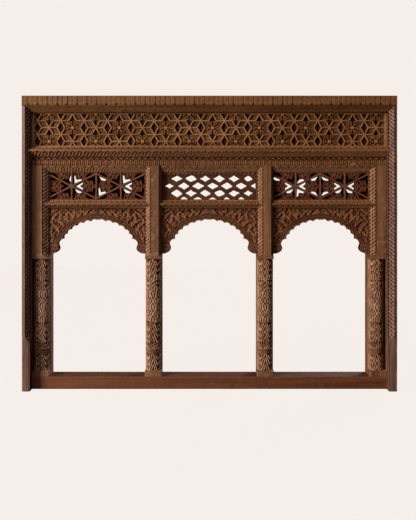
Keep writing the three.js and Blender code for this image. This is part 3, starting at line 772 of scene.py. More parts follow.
# Turned outline from the foot up: height and radius
columnOutline = [(80, 36), (146, 35), (157, 32), (162, 35), (178, 35), (182, 33), (206, 34.5), (240, 36),
                 (292, 34), (340, 35), (440, 35), (470, 34.5), (484, 35.5), (498, 35.5), (505, 34),
                 (545, 36), (572, 36), (579.5, 35)]
# Tiers of big leaves from the foot up: foot, head, leaves round, turn in leaf widths, pitch of the ridges,
# how steeply they climb to the middle of the leaf, and how much of the head is leaf tips
leafTiers = [(80, 157, 4, 0.0, 26.0, 2.3, 0.35), (182, 206, 8, 0.5, 14.0, 1.3, 0.7),
             (206, 296, 4, 0.0, 26.0, 2.4, 0.3), (444, 484, 4, 0.0, 21.0, 1.9, 0.35),
             (498, 579, 4, 0.0, 26.0, 2.3, 0.3)]
leafNet = {"foot": 296, "head": 444, "around": 8, "pitch": 56.0}
columnBands = {"cordFoot": 159, "cordSplit": 170, "strandHead": 176, "cordHead": 181, "beadFoot": 486,
               "beadHead": 497}


# Ridges climb to the middle of each leaf, one inside the other, and a net of long leaves covers the shaft;
# 0 is on a ridge and 1 in the deepest cut
def columnDepth(theta, z, seed):
    z = z + 7.0 * (softNoise(theta * 1.8, z / 30, seed) - 0.5)
    theta = theta + 0.14 * (softNoise(theta * 1.7, z / 31, seed + 2) - 0.5)
    depth = np.full(np.broadcast(theta, z).shape, 0.15)
    for foot, head, count, turn, pitch, steep, tips in leafTiers:
        here = (z >= foot) & (z < head)
        a = np.abs(fract(theta * count / (2 * np.pi) + 0.5 + turn) * 2 - 1)
        arc = a * np.pi * columnLook["radius"] / count
        q = np.clip((z - foot) / (head - foot), 0, 1)
        climb = (z - foot) + steep * arc * (0.75 + 0.4 * np.sin(np.pi * a))
        ridge = 0.5 + 0.5 * np.cos(2 * np.pi * climb / pitch)
        leaf = 0.9 * (1 - ridge) ** 1.2
        spine = 0.35 * hump(arc, 0, 1.6)
        seam = 0.7 * hump(a, 1.0, 0.09)
        half = 1.08 * np.clip(1 - np.clip((q - 1 + tips) / tips, 0, 1) ** 1.8, 0, 1)
        rim = np.clip(1.2 - np.abs(a - half + 0.1) / 0.12, 0, 1) * (q > 1 - tips * 1.2)
        inside = a < half
        carved = np.where(inside, np.maximum(leaf + spine, seam) * (1 - 0.8 * rim), 1.0)
        depth = np.where(here, carved, depth)
    net = leafNet
    f = theta * net["around"] / (2 * np.pi)
    rise = z / net["pitch"] + 0.08 * np.sin(2 * np.pi * z / net["pitch"])
    first, second = np.abs(fract(f + rise) - 0.5), np.abs(fract(f - rise) - 0.5)
    away = 0.5 - np.maximum(first, second)  # from the nearest rib of the net
    groove = hump(away, 0.21, 0.08)
    spine = 0.4 * hump(away, 0.5, 0.05)
    netted = (z >= net["foot"]) & (z < net["head"])
    depth = np.where(netted, 0.08 + 0.85 * groove + spine, depth)
    at = columnBands
    beads = 0.75 * (1 - np.abs(np.sin(theta * 9))) * (z > at["beadFoot"]) * (z < at["beadHead"])
    strands = 0.3 * np.sin(theta * 26 + z * 0.9) * (z < at["strandHead"])
    cord = 0.3 + strands + 0.5 * hump(z, at["cordSplit"], 2.2)
    return np.clip(depth + beads + cord * (z > at["cordFoot"]) * (z < at["cordHead"]), 0, 1)


def columnShell(centreX, radius, seed):
    outline = np.array(columnOutline)
    foot, top = outline[0, 0] - 0.4, outline[-1, 0] + 0.6
    z = np.linspace(foot, top, int((top - foot) / columnLook["step"]))[:, None]
    sweep = math.radians(columnLook["sweep"])
    theta = np.linspace(-sweep, sweep, columnLook["around"])[None, :]
    turned = np.interp(z, outline[:, 0], outline[:, 1])
    share = columnDepth(theta, z, seed)
    cut = columnLook["cut"] * share + 0.6 * softNoise(z / 8, theta * 5, seed)
    r = (turned - cut) * radius / columnLook["radius"]
    points = np.stack([centreX + r * np.sin(theta), columnLook["centreY"] - r * np.cos(theta),
                       z + 0 * theta], -1)
    # Relief falls with the cut: the hollows get painted shade and the ridges the lighter crest colour,
    # partly painted highlight
    return points, gridQuads(*share.shape), ringCaps(*share.shape), 0.95 - 0.46 * share ** 1.3


def makePost(node, seed):
    x0, x1, y0, y1, z0, z1 = span(node)
    leftAcross, rightAcross, columnX, radius = posts[node]
    look = postLook
    deep, foot = look["chamferDeep"], look["foot"]
    carved = {"rows": look["rows"], "carve": carving(plait, look["plaitPitch"], look["swing"]),
              "cut": look["cut"]}
    zones = [zone((x0 + leftAcross, y0))]
    blank = [(x0 + 0.4, y0)]
    if rightAcross:
        zones += [zone((x1 - rightAcross, y0), **carved), zone((x1, y0 + deep))]
        blank += [(x1 - 0.4, y0), (x1, y0 + 0.6)]
    else:
        zones.append(zone((x1, y0)))
        blank.append((x1, y0))
    zones += [zone((x1, y1)), zone((x0, y1))]
    blank += [(x1, y1), (x0, y1)]
    if leftAcross:
        zones.append(zone((x0, y0 + deep), **carved))
        blank.append((x0, y0 + 0.6))

    def plain(front):
        return [zone((x0, front)), zone((x1, front)), zone((x1, y1)), zone((x0, y1))]
    stations = np.linspace(foot, z1, int((z1 - foot) / look["step"]))
    upper = carvedRun(stations, zones, "z", blank, lambda s: ramp(s, foot + 3, foot + 3 + look["stop"]),
                      seed=seed)
    plinthTop = z0 + columnLook["plinth"]
    plank = carvedRun(np.linspace(plinthTop - 5, foot + 1, 60), plain(look["plankFront"]), "z",
                      seed=seed + 1)
    plinth = carvedRun(np.linspace(z0, plinthTop, 8), plain(y0), "z", seed=seed + 2)
    makePiece(node, [upper, plank, plinth, columnShell(columnX, radius, seed + 3)], "post_wood")


for k, node in enumerate(posts):
    makePost(node, 70 + 10 * k)
print("posts done")


# The frieze: a sunk panel with a net of ribs that meet in six-rayed stars, and six-petalled flowers between
friezeLook = {"sunk": 9.0, "border": 9.0, "edge": 3.0, "columnPitch": 52.0, "rowPitch": 61.4,
              "startX": 15.0, "startZ": 1163.0, "deeper": 2.6, "ray": 35.2, "ribHalf": 3.1,
              "petalTip": 33.0, "innerHoles": 12.5, "outerHoles": 21.5, "tipHoles": 23.0, "boss": 6.5,
              "pointsAcross": 340, "pointsUp": 32, "deepest": 13.5}


def starUnit():
    ray, full = friezeLook["ray"], friezeLook["ribHalf"]
    rings, reliefs = [], []
    for half, height, relief in ((full + 0.3, 0.0, 0.15), (full, 5.5, 0.55), (full - 0.5, 7.6, 1.0),
                                 (1.6, 8.3, 0.95), (0.7, 8.0, 0.8)):
        ring = []
        for k in range(6):
            c, d = math.cos(k * math.pi / 3), math.sin(k * math.pi / 3)
            for s, t in ((half * 1.732, -half), (ray - 0.577 * half, -half), (ray, 0),
                         (ray - 0.577 * half, half)):
                ring.append((s * c - t * d, -height, s * d + t * c))
        rings.append(ring)
        reliefs.append(relief)
    return unitObject("starUnit", rings, reliefs)


# Petals that reach the corners of the hexagon round it, with holes drilled between them in two rings
def flowerUnit():
    look = friezeLook
    around = 72
    rings, reliefs = [], []
    for share in (1.0, 0.98, 0.93, 0.86, 0.78, 0.7, 0.63, 0.56, 0.49, 0.42, 0.36, 0.30, 0.24, 0.18, 0.12,
                  0.05):
        ring = []
        for k in range(around):
            angle = k * 2 * math.pi / around
            petal = abs(math.cos(3 * angle))
            radius = look["petalTip"] * share * (1 - 0.30 * (1 - petal ** 0.8) * share)
            aside = math.asin(min(petal, 1.0)) / 3 * radius  # from the line between two petals
            middle = math.acos(min(petal, 1.0)) / 3 * radius  # from the middle of a petal
            inner = spot(radius - look["innerHoles"], aside, 3.0)
            outer = spot(radius - look["outerHoles"], aside, 3.0)
            ends = spot(radius - look["tipHoles"], middle, 2.2)
            hole = min(1.0, inner + outer + ends + 0.55 * hump(aside, 0, 1.2) * (radius > 13))
            boss = radius < look["boss"]
            height = 0 if share == 1.0 else 3.6 + 1.4 * (radius < 26) + 3.0 * boss
            ring.append((radius * math.cos(angle), -max(height - 5.0 * hole, 0.0),
                         radius * math.sin(angle)))
            # Holes and the lines between petals get low relief, which paints them in dark painted shade
            reliefs.append(max(0.0, (0.3 if share == 1.0 else 0.46 + 0.54 * boss) - 0.95 * hole))
        rings.append(ring)
    return unitObject("flowerUnit", rings, reliefs)


def netTree():
    tree = Tree("starNet", Star="Object", Flower="Object", Wood="Material", Columns="Int", Rows="Int",
                FirstColumn="Int", FirstRow="Int", ColumnPitch="Float", RowPitch="Float", StartX="Float",
                StartZ="Float", Face="Float")
    given, maths = tree.given, tree.maths
    count = maths("MULTIPLY", given["Columns"], given["Rows"])
    line = tree.node("GeometryNodeMeshLine", Count=count)
    index = tree.node("GeometryNodeInputIndex").outputs[0]
    column = maths("ADD", maths("FLOOR", maths("DIVIDE", index, given["Rows"])), given["FirstColumn"])
    row = maths("ADD", maths("FLOORED_MODULO", index, given["Rows"]), given["FirstRow"])
    odd = maths("FLOORED_MODULO", column, 2.0)
    x = maths("ADD", maths("MULTIPLY", column, given["ColumnPitch"]), given["StartX"])
    lift = maths("ADD", row, maths("MULTIPLY", odd, 0.5))
    z = maths("ADD", maths("MULTIPLY", lift, given["RowPitch"]), given["StartZ"])
    place = tree.node("ShaderNodeCombineXYZ", X=x, Y=given["Face"], Z=z).outputs[0]
    points = tree.node("GeometryNodeSetPosition", Geometry=line.outputs[0], Position=place).outputs[0]
    turn = maths("FLOORED_MODULO", maths("ADD", maths("MULTIPLY", column, 0.5), row), 2.0)
    isFlower = maths("LESS_THAN", maths("ADD", turn, odd), 0.25)
    isStar = maths("SUBTRACT", 1.0, isFlower)
    sway = tree.node("FunctionNodeRandomValue", {"data_type": "FLOAT"}, i2=-0.02, i3=0.02,
                     Seed=4).outputs[1]
    tilt = tree.node("ShaderNodeCombineXYZ", Y=sway).outputs[0]
    parts = []
    for unit, chosen in (("Star", isStar), ("Flower", isFlower)):
        shape = tree.node("GeometryNodeObjectInfo", Object=given[unit]).outputs["Geometry"]
        parts.append(tree.node("GeometryNodeInstanceOnPoints", Points=points, Instance=shape,
                               Selection=chosen, Rotation=tilt).outputs[0])
    tree.finish(parts)
    return tree


# Cuts the net off at the border, and closes what was cut
def trim(mesh, x0, x1, z0, z1):
    work = bmesh.new()
    work.from_mesh(mesh)
    for spot, normal in (((x0, 0, 0), (-1, 0, 0)), ((x1, 0, 0), (1, 0, 0)), ((0, 0, z0), (0, 0, -1)),
                         ((0, 0, z1), (0, 0, 1))):
        geometry = work.verts[:] + work.edges[:] + work.faces[:]
        cut = bmesh.ops.bisect_plane(work, geom=geometry, plane_co=[v * mm for v in spot], plane_no=normal,
                                     clear_outer=True)["geom_cut"]
        bmesh.ops.edgenet_fill(work, edges=[e for e in cut if isinstance(e, bmesh.types.BMEdge)])
    work.to_mesh(mesh)
    work.free()


def makeFrieze():
    x0, x1, y0, y1, z0, z1 = span("frieze_panel")
    look = friezeLook
    border, edge, sunk = look["border"], look["edge"], look["sunk"]
    across, up, startX, startZ = look["columnPitch"], look["rowPitch"], look["startX"], look["startZ"]
    x = np.concatenate([[x0, x0 + border * 0.5, x0 + border],
                        np.linspace(x0 + border + 0.8, x1 - border - 0.8, look["pointsAcross"]),
                        [x1 - border, x1 - border * 0.5, x1]])
    z = np.concatenate([[z0, z0 + edge], np.linspace(z0 + edge + 0.8, z1 - edge - 0.8, look["pointsUp"]),
                        [z1 - edge, z1]])

    def cut(px, pz):
        inside = np.minimum.reduce([px - x0 - border, x1 - border - px, pz - z0 - edge, z1 - edge - pz])
        column = np.round((px - startX) / across)
        dx = np.abs(px - startX - column * across)
        dz = np.abs(fract((pz - startZ) / up - 0.5 * (column % 2)) - 0.5) * up
        # Upright lozenges are cut deeper, and their lower relief also paints them in darker painted shade
        upright = ramp(1 - dx / (look["ray"] / 2) - dz / (up / 2), 0.0, 0.2)
        ground = sunk - 0.9 + 1.4 * softNoise(px / 19, pz / 17, 2) + look["deeper"] * upright
        return np.where(inside > 0.1, ground, 0.4 * softNoise(px / 9, pz / 9))
    base = carvedBoard(x, z, lambda px, pz: np.ones_like(px), cut, y0, y1, look["deepest"])
    star, flower = starUnit(), flowerUnit()
    columns = math.ceil(x1 / across) + 1
    net = netTree().grow("friezeNet", Star=star, Flower=flower, Wood=teaks["frieze_wood"],
                         Columns=2 * columns + 1, Rows=4, FirstColumn=-columns, FirstRow=-2,
                         ColumnPitch=across * mm, RowPitch=up * mm, StartX=startX * mm, StartZ=startZ * mm,
                         Face=(y0 + sunk) * mm)
    trim(net, x0 + border - 1, x1 - border + 1, z0 + edge - 1, z1 - edge + 1)
    bpy.data.objects.remove(star)
    bpy.data.objects.remove(flower)
    makePiece("frieze_panel", [base, shellOf(net)], "frieze_wood", sharpAngle=35)


makeFrieze()


# Panels of the side bays: ribs on a net of triangles, each filled with a flower of three leaves. Round the
# tip of every leaf a V is sunk, and some of these go through.
sideJaliLook = {"column": 110.0, "row": 56.0, "shift": {"left": -6.0, "right": -2.0}, "middleZ": 903.0,
                "cell": 1.5, "ribHalf": 4.0, "proud": 5.0, "arm": 50.0, "armWidth": 8.5, "slant": 4.0,
                "apex": 13.0, "leafTip": 34.0, "stile": 4, "rim": 6.0, "bevel": 2.6, "sunk": 27.0,
                "overlap": 1.5, "deepest": 16.0}
# Corners that are open: column and row, the way that the leaf lies in degrees, and which arms
openCorners = {
    "left": [(-1, 0, 0, "both"), (-1, 0, 60, "both"), (-1, 0, -60, "slant"), (-1, 0, 120, "upright"),
             (1, 0, 0, "both"), (1, 0, 60, "both"), (1, 0, -60, "slant"), (0, 1, -60, "slant"),
             (0, -1, 60, "both")],
    "right": [(-2, 1, -60, "slant"), (-1, 0, 180, "both"), (-1, 0, 60, "slant"), (-1, 0, 0, "both"),
              (-1, 0, -60, "both"), (-1, 0, -120, "slant"), (0, 1, -120, "slant"), (0, 1, -60, "slant"),
              (0, -1, 120, "slant"), (0, -1, 60, "slant"), (1, 0, 180, "both"), (1, 0, 0, "both"),
              (1, 0, -120, "slant"), (1, 0, -60, "slant")],
}
netCorners = [(-1, 0), (1, 0), (-2, 1), (-2, -1), (0, 1), (0, -1), (2, 1), (2, -1)]


# The V round the tip of the leaf that lies between the ribs along a and b, or one arm of it
def leafOpening(corner, a, b, arms="both"):
    look = sideJaliLook
    c = np.array(corner, float)
    middle = (a + b) / np.linalg.norm(a + b)
    half = look["ribHalf"] + 0.4
    sides = []
    for d in (a, b):
        n = np.array([-d[1], d[0]])
        n = n * np.sign(np.dot(n, middle))
        sides.append([c + d * look["arm"] + n * half,
                      c + d * (look["arm"] - look["slant"]) + n * (half + look["armWidth"])])
    root, tip = c + middle * look["apex"], c + middle * look["leafTip"]
    if arms == "both":
        return np.array([root, *sides[0], tip, *sides[1][::-1]])
    first = (abs(a[0]) < 0.1) == (arms == "upright")
    return np.array([root, *sides[0 if first else 1], tip])


def outlineGap(px, pz, outlines):
    gap = np.full(np.shape(px), 60.0)
    for outline in outlines:
        reach, _ = lineDistance(px, pz, np.vstack([outline, outline[:1]]))
        gap = np.minimum(gap, np.where(insideOutline(px, pz, outline), -reach, reach))
    return gap


def makeSideJali(bay, seed):
    node = "jali_" + bay
    x0, x1, y0, y1, z0, z1 = span(node)
    look = sideJaliLook
    z0, z1 = z0 - look["overlap"], z1 + look["overlap"]
    column, row = look["column"], look["row"]
    middleX, middleZ = (x0 + x1) / 2 + look["shift"][bay], look["middleZ"]
    rise = math.atan2(row, column)
    rays = [np.array([math.cos(v), math.sin(v)])
            for v in (rise, math.pi / 2, math.pi - rise, math.pi + rise, 1.5 * math.pi, -rise)]
    between = [(rays[k], rays[(k + 1) % 6]) for k in range(6)]
    sunk = [leafOpening((i * column, j * row), a, b) for i, j in netCorners for a, b in between]
    through = []
    for i, j, degrees, arms in openCorners[bay]:
        way = np.array([math.cos(math.radians(degrees)), math.sin(math.radians(degrees))])
        a, b = max(between, key=lambda pair: np.dot(pair[0] + pair[1],
                                                    way) / np.linalg.norm(pair[0] + pair[1]))
        through.append(leafOpening((i * column, j * row), a, b, arms))
    ribs = [((i * column, -2 * row), (i * column, 2 * row)) for i in (-1, 0, 1)]
    ribs += [((i * column, 0), ((i + side) * column, j * row))
             for i in (-1, 1) for side in (-1, 1) for j in (-1, 1)]
    centres = []
    for i in (-3, -1, 1, 3):
        for side in (-1, 1):
            centres.append(((i + side * 2 / 3) * column, 0.0, 0 if side < 0 else math.pi))
            for j in (-1, 1):
                centres.append(((i + side / 3) * column, j * row * 0.93, math.pi if side < 0 else 0))

    def toNet(px, pz):
        return px - middleX, pz - middleZ

    def holeGap(px, pz):
        u, w = toNet(px, pz)
        edge = np.minimum(np.minimum(px - x0, x1 - px) - look["stile"],
                          np.minimum(pz - z0, z1 - pz) - look["rim"])
        return np.maximum(outlineGap(u, w, through), -edge)

    def cut(px, pz):
        u, w = toNet(px, pz)
        ribGap = np.full(np.shape(px), 60.0)
        for line in ribs:
            ribGap = np.minimum(ribGap, lineDistance(u, w, line)[0])
        rib = 1.8 + 1.6 * np.clip(ribGap / look["ribHalf"], 0, 1) ** 2 + 1.0 * hump(ribGap, 0, 0.8)
        nearest, leaves = np.full(np.shape(px), 1e9), np.zeros(np.shape(px))
        for gx, gz, turn in centres:
            r = np.hypot(u - gx, w - gz)
            f = np.abs(fract((np.arctan2(w - gz, u - gx) - turn) / (2 * np.pi / 3) + 0.5) - 0.5) * 2
            petal = 2.6 * hump(f, 1.0, 0.17) * ramp(r, 3, 8) + 1.8 * hump(f, 0, 0.10) * ramp(r, 7, 12)
            curl = 2.4 * hump(r, 16 + 5 * (1 - f), 1.7) + 1.8 * hump(r, 26 + 4 * (1 - f), 1.8)
            dot = 6.0 * hump(r, 0, 3.0) + 5.0 * hump(r, 12, 2.2) * hump(f, 1.0, 0.25)
            leaves = np.where(r < nearest, petal + curl + dot - 1.2 * hump(r, 6.5, 2.2), leaves)
            nearest = np.minimum(r, nearest)
        depth = np.where(ribGap < look["ribHalf"], rib, look["proud"] + 1.2 + leaves)
        border = np.minimum(pz - z0, z1 - pz) - look["rim"]
        depth = np.where((border < 0) & (ribGap > look["ribHalf"]), look["proud"] + 1.0, depth)
        pit = np.where(border > 0, ramp(outlineGap(u, w, sunk), 0.6, -1.0), 0)
        depth = depth + (look["sunk"] - depth) * pit * (ribGap > look["ribHalf"])
        slope = look["bevel"] * (1 - ramp(holeGap(px, pz), 0, look["bevel"])) ** 1.5
        return depth + slope + 0.5 * softNoise(px / 6, pz / 6, seed)
    x, z = spaced(x0, x1, look["cell"]), spaced(z0, z1, look["cell"])
    shell = carvedBoard(x, z, holeGap, cut, y0, y1, look["deepest"])
    makePiece(node, [shell], "panel_wood", sharpAngle=40)


makeSideJali("left", 1)
makeSideJali("right", 2)


# Pierced panel of the middle bay: rows of hand-cut openings with four points
centreJaliLook = {"start": -18.0, "pitchX": 64.5, "pitchZ": 33.0, "firstZ": 937.0, "halfWidth": 28.0,
                  "halfHeight": 17.0, "rows": [(-2, 3), (-3, 3), (-2, 3), (-2, 2)], "cell": 1.5,
                  "rimTop": 9.0, "stile": 4.0, "bevel": 5.0, "overlap": 1.5, "back": 2.5, "beadPitch": 18.6,
                  "beadHalf": 7.6, "beadHigh": 3.4, "beadProud": 2.6, "beadDown": 5.0, "outerX": 170,
                  "outerShare": 0.8, "deepest": 6.0}


# A diamond with soft points, each a little different, as it was cut by hand
def starOpening(x, z, seed):
    look = centreJaliLook
    outer = look["outerShare"] if abs(x) > look["outerX"] else 1.0
    grow = (0.92 + 0.12 * float(speckle(seed, 7, 1))) * outer
    hollow = 0.78 + 0.32 * float(speckle(seed, 3, 5))  # under 1 hollow sides, over 1 full ones
    outline = []
    for k in range(24):
        angle = k * math.pi / 12
        c, s = math.cos(angle), math.sin(angle)
        reach = (abs(c) ** hollow + abs(s) ** hollow) ** (-1 / hollow)
        reach = min(reach, 0.93) * grow * (1 + 0.22 * (float(speckle(seed, k // 3, 3)) - 0.5))
        outline.append((x + look["halfWidth"] * reach * c, z + look["halfHeight"] * reach * s))
    return np.array(outline)


def beadTree():
    tree = Tree("beadRow", Bead="Object", Wood="Material", Count="Int", Pitch="Float", StartX="Float",
                Face="Float", Height="Float")
    given = tree.given
    start = tree.node("ShaderNodeCombineXYZ", X=given["StartX"], Y=given["Face"],
                      Z=given["Height"]).outputs[0]
    step = tree.node("ShaderNodeCombineXYZ", X=given["Pitch"]).outputs[0]
    line = tree.node("GeometryNodeMeshLine", {"mode": "OFFSET"}, Count=given["Count"], Start_Location=start,
                     Offset=step)
    bead = tree.node("GeometryNodeObjectInfo", Object=given["Bead"]).outputs["Geometry"]
    size = tree.node("FunctionNodeRandomValue", {"data_type": "FLOAT"}, i2=0.88, i3=1.08,
                     Seed=11).outputs[1]
    row = tree.node("GeometryNodeInstanceOnPoints", Points=line.outputs[0], Instance=bead, Scale=size)
    tree.finish([row.outputs[0]])
    return tree


def beadUnit(halfLength, halfHeight, proud):
    rings = []
    for share, height in ((1.0, -1.0), (1.0, proud * 0.35), (0.85, proud * 0.75), (0.5, proud)):
        rings.append([(halfLength * share * math.copysign(abs(math.cos(a)) ** 0.7, math.cos(a)), -height,
                       halfHeight * share * math.copysign(abs(math.sin(a)) ** 0.7, math.sin(a)))
                      for a in np.arange(12) * math.pi / 6])
    return unitObject("beadUnit", rings, [0.1, 0.6, 1.0, 0.95])


def makeCentreJali():
    node = "jali_centre"
    x0, x1, y0, y1, z0, z1 = span(node)
    look = centreJaliLook
    z0 = z0 - look["overlap"]
    openings = []
    for row, (first, last) in enumerate(look["rows"]):
        for i in range(first, last + 1):
            x = look["start"] + (i + 0.5 * (row % 2)) * look["pitchX"]
            openings.append(starOpening(x, look["firstZ"] - row * look["pitchZ"], row * 10 + i))

    def openingGap(px, pz):
        gap = outlineGap(px, pz, openings)
        fieldEdge = np.minimum.reduce([px - x0 - look["stile"], x1 - px - look["stile"],
                                       z1 - pz - look["rimTop"], pz - z0 - look["stile"]])
        return np.maximum(gap, -fieldEdge)

    def cut(px, pz):
        gap = openingGap(px, pz)
        edge = 1.3 * look["bevel"] * (1 - ramp(gap, 0, look["bevel"])) ** 1.1
        return 1.0 + edge + 2.2 * hump(gap, 7.6, 1.3) + 1.6 * ramp(gap, 9, 12) + 1.2 * softNoise(px / 4,
                                                                                                 pz / 4, 9)
    x, z = spaced(x0, x1, look["cell"]), spaced(z0, z1, look["cell"])
    board = carvedBoard(x, z, openingGap, cut, y0 + look["back"], y1, look["deepest"])
    bead = beadUnit(look["beadHalf"], look["beadHigh"], look["beadProud"])
    pitch = look["beadPitch"]
    count = int((x1 - x0 - 12) / pitch)
    beads = beadTree().grow("jaliBeads", Bead=bead, Wood=teaks["panel_wood"], Count=count, Pitch=pitch * mm,
                            StartX=-(count - 1) / 2 * pitch * mm, Face=(y0 + look["back"] + 0.3) * mm,
                            Height=(z1 - look["beadDown"]) * mm)
    bpy.data.objects.remove(bead)
    makePiece(node, [board, shellOf(beads)], "panel_wood", sharpAngle=40)


makeCentreJali()


# Halves of the cusped arches. Places are distance from the middle of the bay and height.
archLook = {"half": 160.0, "springing": 634.0, "rise": 114.0, "tip": 754.0, "start": 0.297, "lobes": 6,
            "lobeDepth": 7.0, "foot": 600.0, "top": 803.0, "outer": 212.7, "seam": 0.15, "cell": 1.75,
            "field": 6.0, "band": 24.0, "corbelTop": 650, "scaleHigh": 16.0, "scaleWide": 14.0,
            "deepest": 8.0}
# The scrolled foot of the arch, from the post to the first lobe
scrollFoot = [(212.7, 600), (205, 600.2), (196, 602), (187, 606), (179, 611.5), (174.5, 618), (173, 625),
              (174.5, 633), (177.5, 640), (178.6, 646), (176.5, 653), (171, 660.5), (163, 665.5)]
# Leaves of the scroll: root, bend, tip and half width
scrollLeaves = [
    ((206, 652), (200, 690), (180, 706), 9), ((207, 676), (212, 704), (200, 730), 8),
    ((172, 688), (178, 722), (203, 738), 10), ((148, 716), (160, 746), (190, 750), 10),
    ((207, 738), (200, 770), (178, 782), 10), ((180, 742), (158, 758), (168, 788), 10),
    ((130, 738), (140, 766), (162, 768), 9), ((150, 752), (128, 770), (142, 797), 9),
    ((208, 774), (204, 794), (178, 798), 8), ((106, 752), (112, 778), (132, 786), 9),
    ((120, 762), (96, 774), (106, 798), 8), ((84, 764), (88, 782), (104, 790), 7),
    ((92, 768), (70, 776), (76, 797), 8), ((52, 774), (60, 790), (76, 793), 7),
    ((62, 776), (42, 784), (46, 798), 7), ((34, 778), (24, 790), (6, 796), 7),
    ((28, 782), (12, 782), (2, 788), 6),
]


def archEdge():
    look = archLook
    lobeAngle = (math.pi / 2 - look["start"]) / look["lobes"]
    points = []
    for lobe in range(look["lobes"]):
        for step in range(7):
            share = step / 7
            t = look["start"] + (lobe + share) * lobeAngle
            bulge = look["lobeDepth"] * math.sin(math.pi * share) ** 0.8
            across, up = look["half"] + bulge, look["rise"] + bulge
            points.append((across * math.cos(t), look["springing"] + up * math.sin(t)))
    return np.array(scrollFoot + points + [(look["seam"], look["tip"])])


def bentLine(root, bend, tip, steps=9):
    t = np.linspace(0, 1, steps)[:, None]
    return (1 - t) ** 2 * np.array(root) + 2 * t * (1 - t) * np.array(bend) + t ** 2 * np.array(tip)


def spandrelCut(u, z, edge, seed):
    look = archLook
    gap, along = lineDistance(u, z, edge)
    band = look["band"]
    rim = 2.4 * (1 - ramp(gap, 0, 3.2)) ** 1.5
    grooves = 4.6 * hump(gap, 9.0, 1.8) + 4.6 * hump(gap, 19.0, 1.8)
    twist = (1 - np.sin(np.pi * fract((along + gap * 0.8) / 13.0)) ** 0.6) * hump(gap, 14.2, 3.6)
    moulding = 0.8 + rim + grooves + 2.8 * twist
    leaf, vein = np.zeros(np.shape(u)), np.zeros(np.shape(u))
    for root, bend, tip, half in scrollLeaves:
        spine = bentLine(root, bend, tip)
        reach, run = lineDistance(u, z, spine)
        length = np.sum(np.hypot(*np.diff(spine, axis=0).T))
        q = run / length
        width = half * (0.35 + 0.65 * np.sin(np.pi * np.clip(q * 0.86 + 0.1, 0, 1)) ** 0.8)
        width = 0.82 * width * (1 + 0.16 * np.sin(q * 19 + seed))
        shape = np.clip(1.6 * (1 - (reach / width) ** 2), 0, 1)
        better = shape > leaf
        flutes = 1.5 * grooved((reach + 2.2) / 4.4, 0.2) * ramp(q, 1.0, 0.85)
        vein = np.where(better, flutes + 1.6 * spot(reach, (q - 0.86) * length, 2.6), vein)
        leaf = np.maximum(leaf, shape)
    warp = 7 * (softNoise(u / 21, z / 21, seed + 3) - 0.5)
    curls = np.sin((u + warp) / 3.3) * np.sin((z - warp) / 3.6)
    ground = look["field"] - 2.4 + 1.6 * curls + 1.8 * ramp(softNoise(u / 7.5, z / 7.5, seed + 6), 0.62,
                                                            0.8)
    scroll = ground - (look["field"] - 1.6) * leaf + vein * (leaf > 0.1)
    tier = (z - look["foot"]) / look["scaleHigh"]
    f = np.abs(fract(u / look["scaleWide"] + 0.5 * np.floor(tier)) - 0.5) * 2
    scale = fract(tier) - 0.9 * np.sqrt(np.clip(1 - f ** 2, 0, 1))
    corbel = 0.9 + rim + 3.0 * ramp(scale, -0.05, 0.12) + 1.2 * hump(f, 0, 0.14) * (scale < 0)
    inField = ramp(gap, band, band + 1.6)
    depth = moulding * (1 - inField) + scroll * inField
    low = ramp(z, look["corbelTop"] + 2, look["corbelTop"] - 2)
    return depth * (1 - low) + corbel * low + 0.5 * softNoise(u / 7, z / 7, seed)


def makeSpandrel(bay, side, seed):
    node = "spandrel_%s_bay_%s_half" % (bay, "left" if side < 0 else "right")
    x0, x1, y0, y1 = span(node)[:4]
    look = archLook
    middle = x1 + look["seam"] if side < 0 else x0 - look["seam"]
    edge = archEdge()
    outline = np.vstack([edge, [(look["seam"], look["top"]), (look["outer"], look["top"])]])

    def keep(u, z):
        reach, _ = lineDistance(u, z, np.vstack([outline, outline[:1]]))
        return np.where(insideOutline(u, z, outline), reach, -reach)
    u, z = spaced(look["seam"], look["outer"], look["cell"]), spaced(look["foot"], look["top"],
                                                                     look["cell"])
    shell = carvedBoard(u, z, keep, lambda a, b: spandrelCut(a, b, edge, seed), y0, y1, look["deepest"])
    shell[0][:, 0] = middle + side * shell[0][:, 0]
    makePiece(node, [shell], "panel_wood", sharpAngle=40)


for k, bay in enumerate(bays):
    for side in (-1, 1):
        makeSpandrel(bay, side, 2 * k + (side > 0))
print("panels done")


# Camera and light
cameraLook = {"at": (-0.020, -3.475, 0.854), "focalPixels": 774.5, "photoHeight": 520, "sensor": 36.0,
              "shiftX": 0.006, "shiftY": -0.121}


def makeCamera():
    data = bpy.data.cameras.new("photoCamera")
    data.sensor_fit = "AUTO"
    data.sensor_width = cameraLook["sensor"]
    data.lens = cameraLook["focalPixels"] * cameraLook["sensor"] / cameraLook["photoHeight"]
    data.shift_x, data.shift_y = cameraLook["shiftX"], cameraLook["shiftY"]
    camera = linked("photoCamera", data)
    camera.location = cameraLook["at"]
    camera.rotation_euler = (math.radians(90), 0, 0)
    bpy.context.scene.camera = camera


# The window light at the left, a faint fill from above, what the pale floor throws back, and a soft light
# for the back and the right side
lampLooks = {
    "keyLamp": dict(at=(-6.4, -4.85, 2.5), size=2.8, power=1250.0, colour=(1.0, 0.965, 0.93)),
    "fillLamp": dict(at=(-0.6, -3.0, 4.2), size=2.5, power=34.0, colour=(1.0, 0.98, 0.96)),
    "bounceLamp": dict(at=(-0.9, -2.6, 0.12), size=2.4, power=22.0, colour=(1.0, 0.86, 0.72)),
    "rearLamp": dict(at=(5.5, 6.0, 3.4), size=3.5, power=620.0, colour=(1.0, 0.98, 0.96)),
}
studioLook = {"aim": (0.0, 0.0, 0.75), "ambient": 0.05, "ambientTint": (0.95, 0.72, 0.56, 1),
              "paper": (0.922, 0.863, 0.815, 1), "floorHalf": 6.0, "floorColour": (0.012, 0.011, 0.011, 1),
              "floorGlow": 0.985}


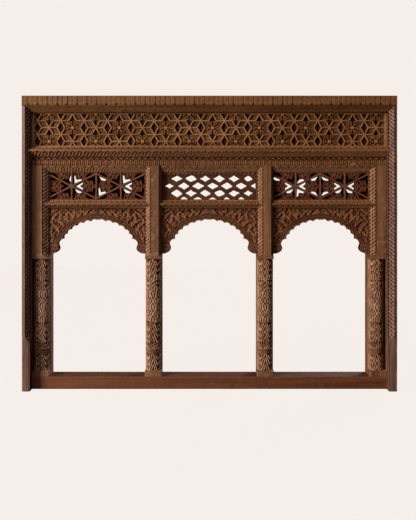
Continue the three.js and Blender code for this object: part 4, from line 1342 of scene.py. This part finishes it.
def makeLamp(name, at, size, power, colour):
    data = bpy.data.lights.new(name, "AREA")
    data.size = size
    data.energy = power
    data.color = colour
    lamp = linked(name, data)
    lamp.location = at
    lamp.rotation_euler = (Vector(at) - Vector(studioLook["aim"])).to_track_quat("Z", "Y").to_euler()
    lamp.visible_camera = False


def makeStudio():
    for name, look in lampLooks.items():
        makeLamp(name, **look)
    world = bpy.data.worlds.new("studio")
    bpy.context.scene.world = world
    world.use_nodes = True
    tree = world.node_tree
    tree.nodes.clear()
    seen = nodeIn(tree, "ShaderNodeBackground", Color=studioLook["paper"])
    air = nodeIn(tree, "ShaderNodeBackground", Color=studioLook["ambientTint"],
                 Strength=studioLook["ambient"])
    ray = nodeIn(tree, "ShaderNodeLightPath").outputs["Is Camera Ray"]
    mix = nodeIn(tree, "ShaderNodeMixShader", i0=ray, i1=air.outputs[0], i2=seen.outputs[0])
    nodeIn(tree, "ShaderNodeOutputWorld", Surface=mix.outputs[0])
    bpy.context.scene.view_settings.view_transform = "Standard"


# The floor is pale paper: it glows at the colour of the wall for the camera and takes a faint shadow
def makeFloor():
    mesh = bpy.data.meshes.new("floor")
    half = studioLook["floorHalf"]
    mesh.from_pydata([(-half, -half, 0), (half, -half, 0), (half, half, 0), (-half, half, 0)], [],
                     [(0, 1, 2, 3)])
    floor = linked("floor", mesh)
    material = bpy.data.materials.new("paperFloor")
    material.use_nodes = True
    tree = material.node_tree
    tree.nodes.clear()
    paper = nodeIn(tree, "ShaderNodeBsdfDiffuse", Color=studioLook["floorColour"])
    ray = nodeIn(tree, "ShaderNodeLightPath").outputs["Is Camera Ray"]
    scale = nodeIn(tree, "ShaderNodeMath", {"operation": "MULTIPLY"}, i0=ray, i1=studioLook["floorGlow"])
    glow = nodeIn(tree, "ShaderNodeEmission", Color=studioLook["paper"], Strength=scale.outputs[0])
    both = nodeIn(tree, "ShaderNodeAddShader", i0=paper.outputs[0], i1=glow.outputs[0])
    nodeIn(tree, "ShaderNodeOutputMaterial", Surface=both.outputs[0])
    mesh.materials.append(material)


makeCamera()
makeStudio()
makeFloor()
print("camera and light set")
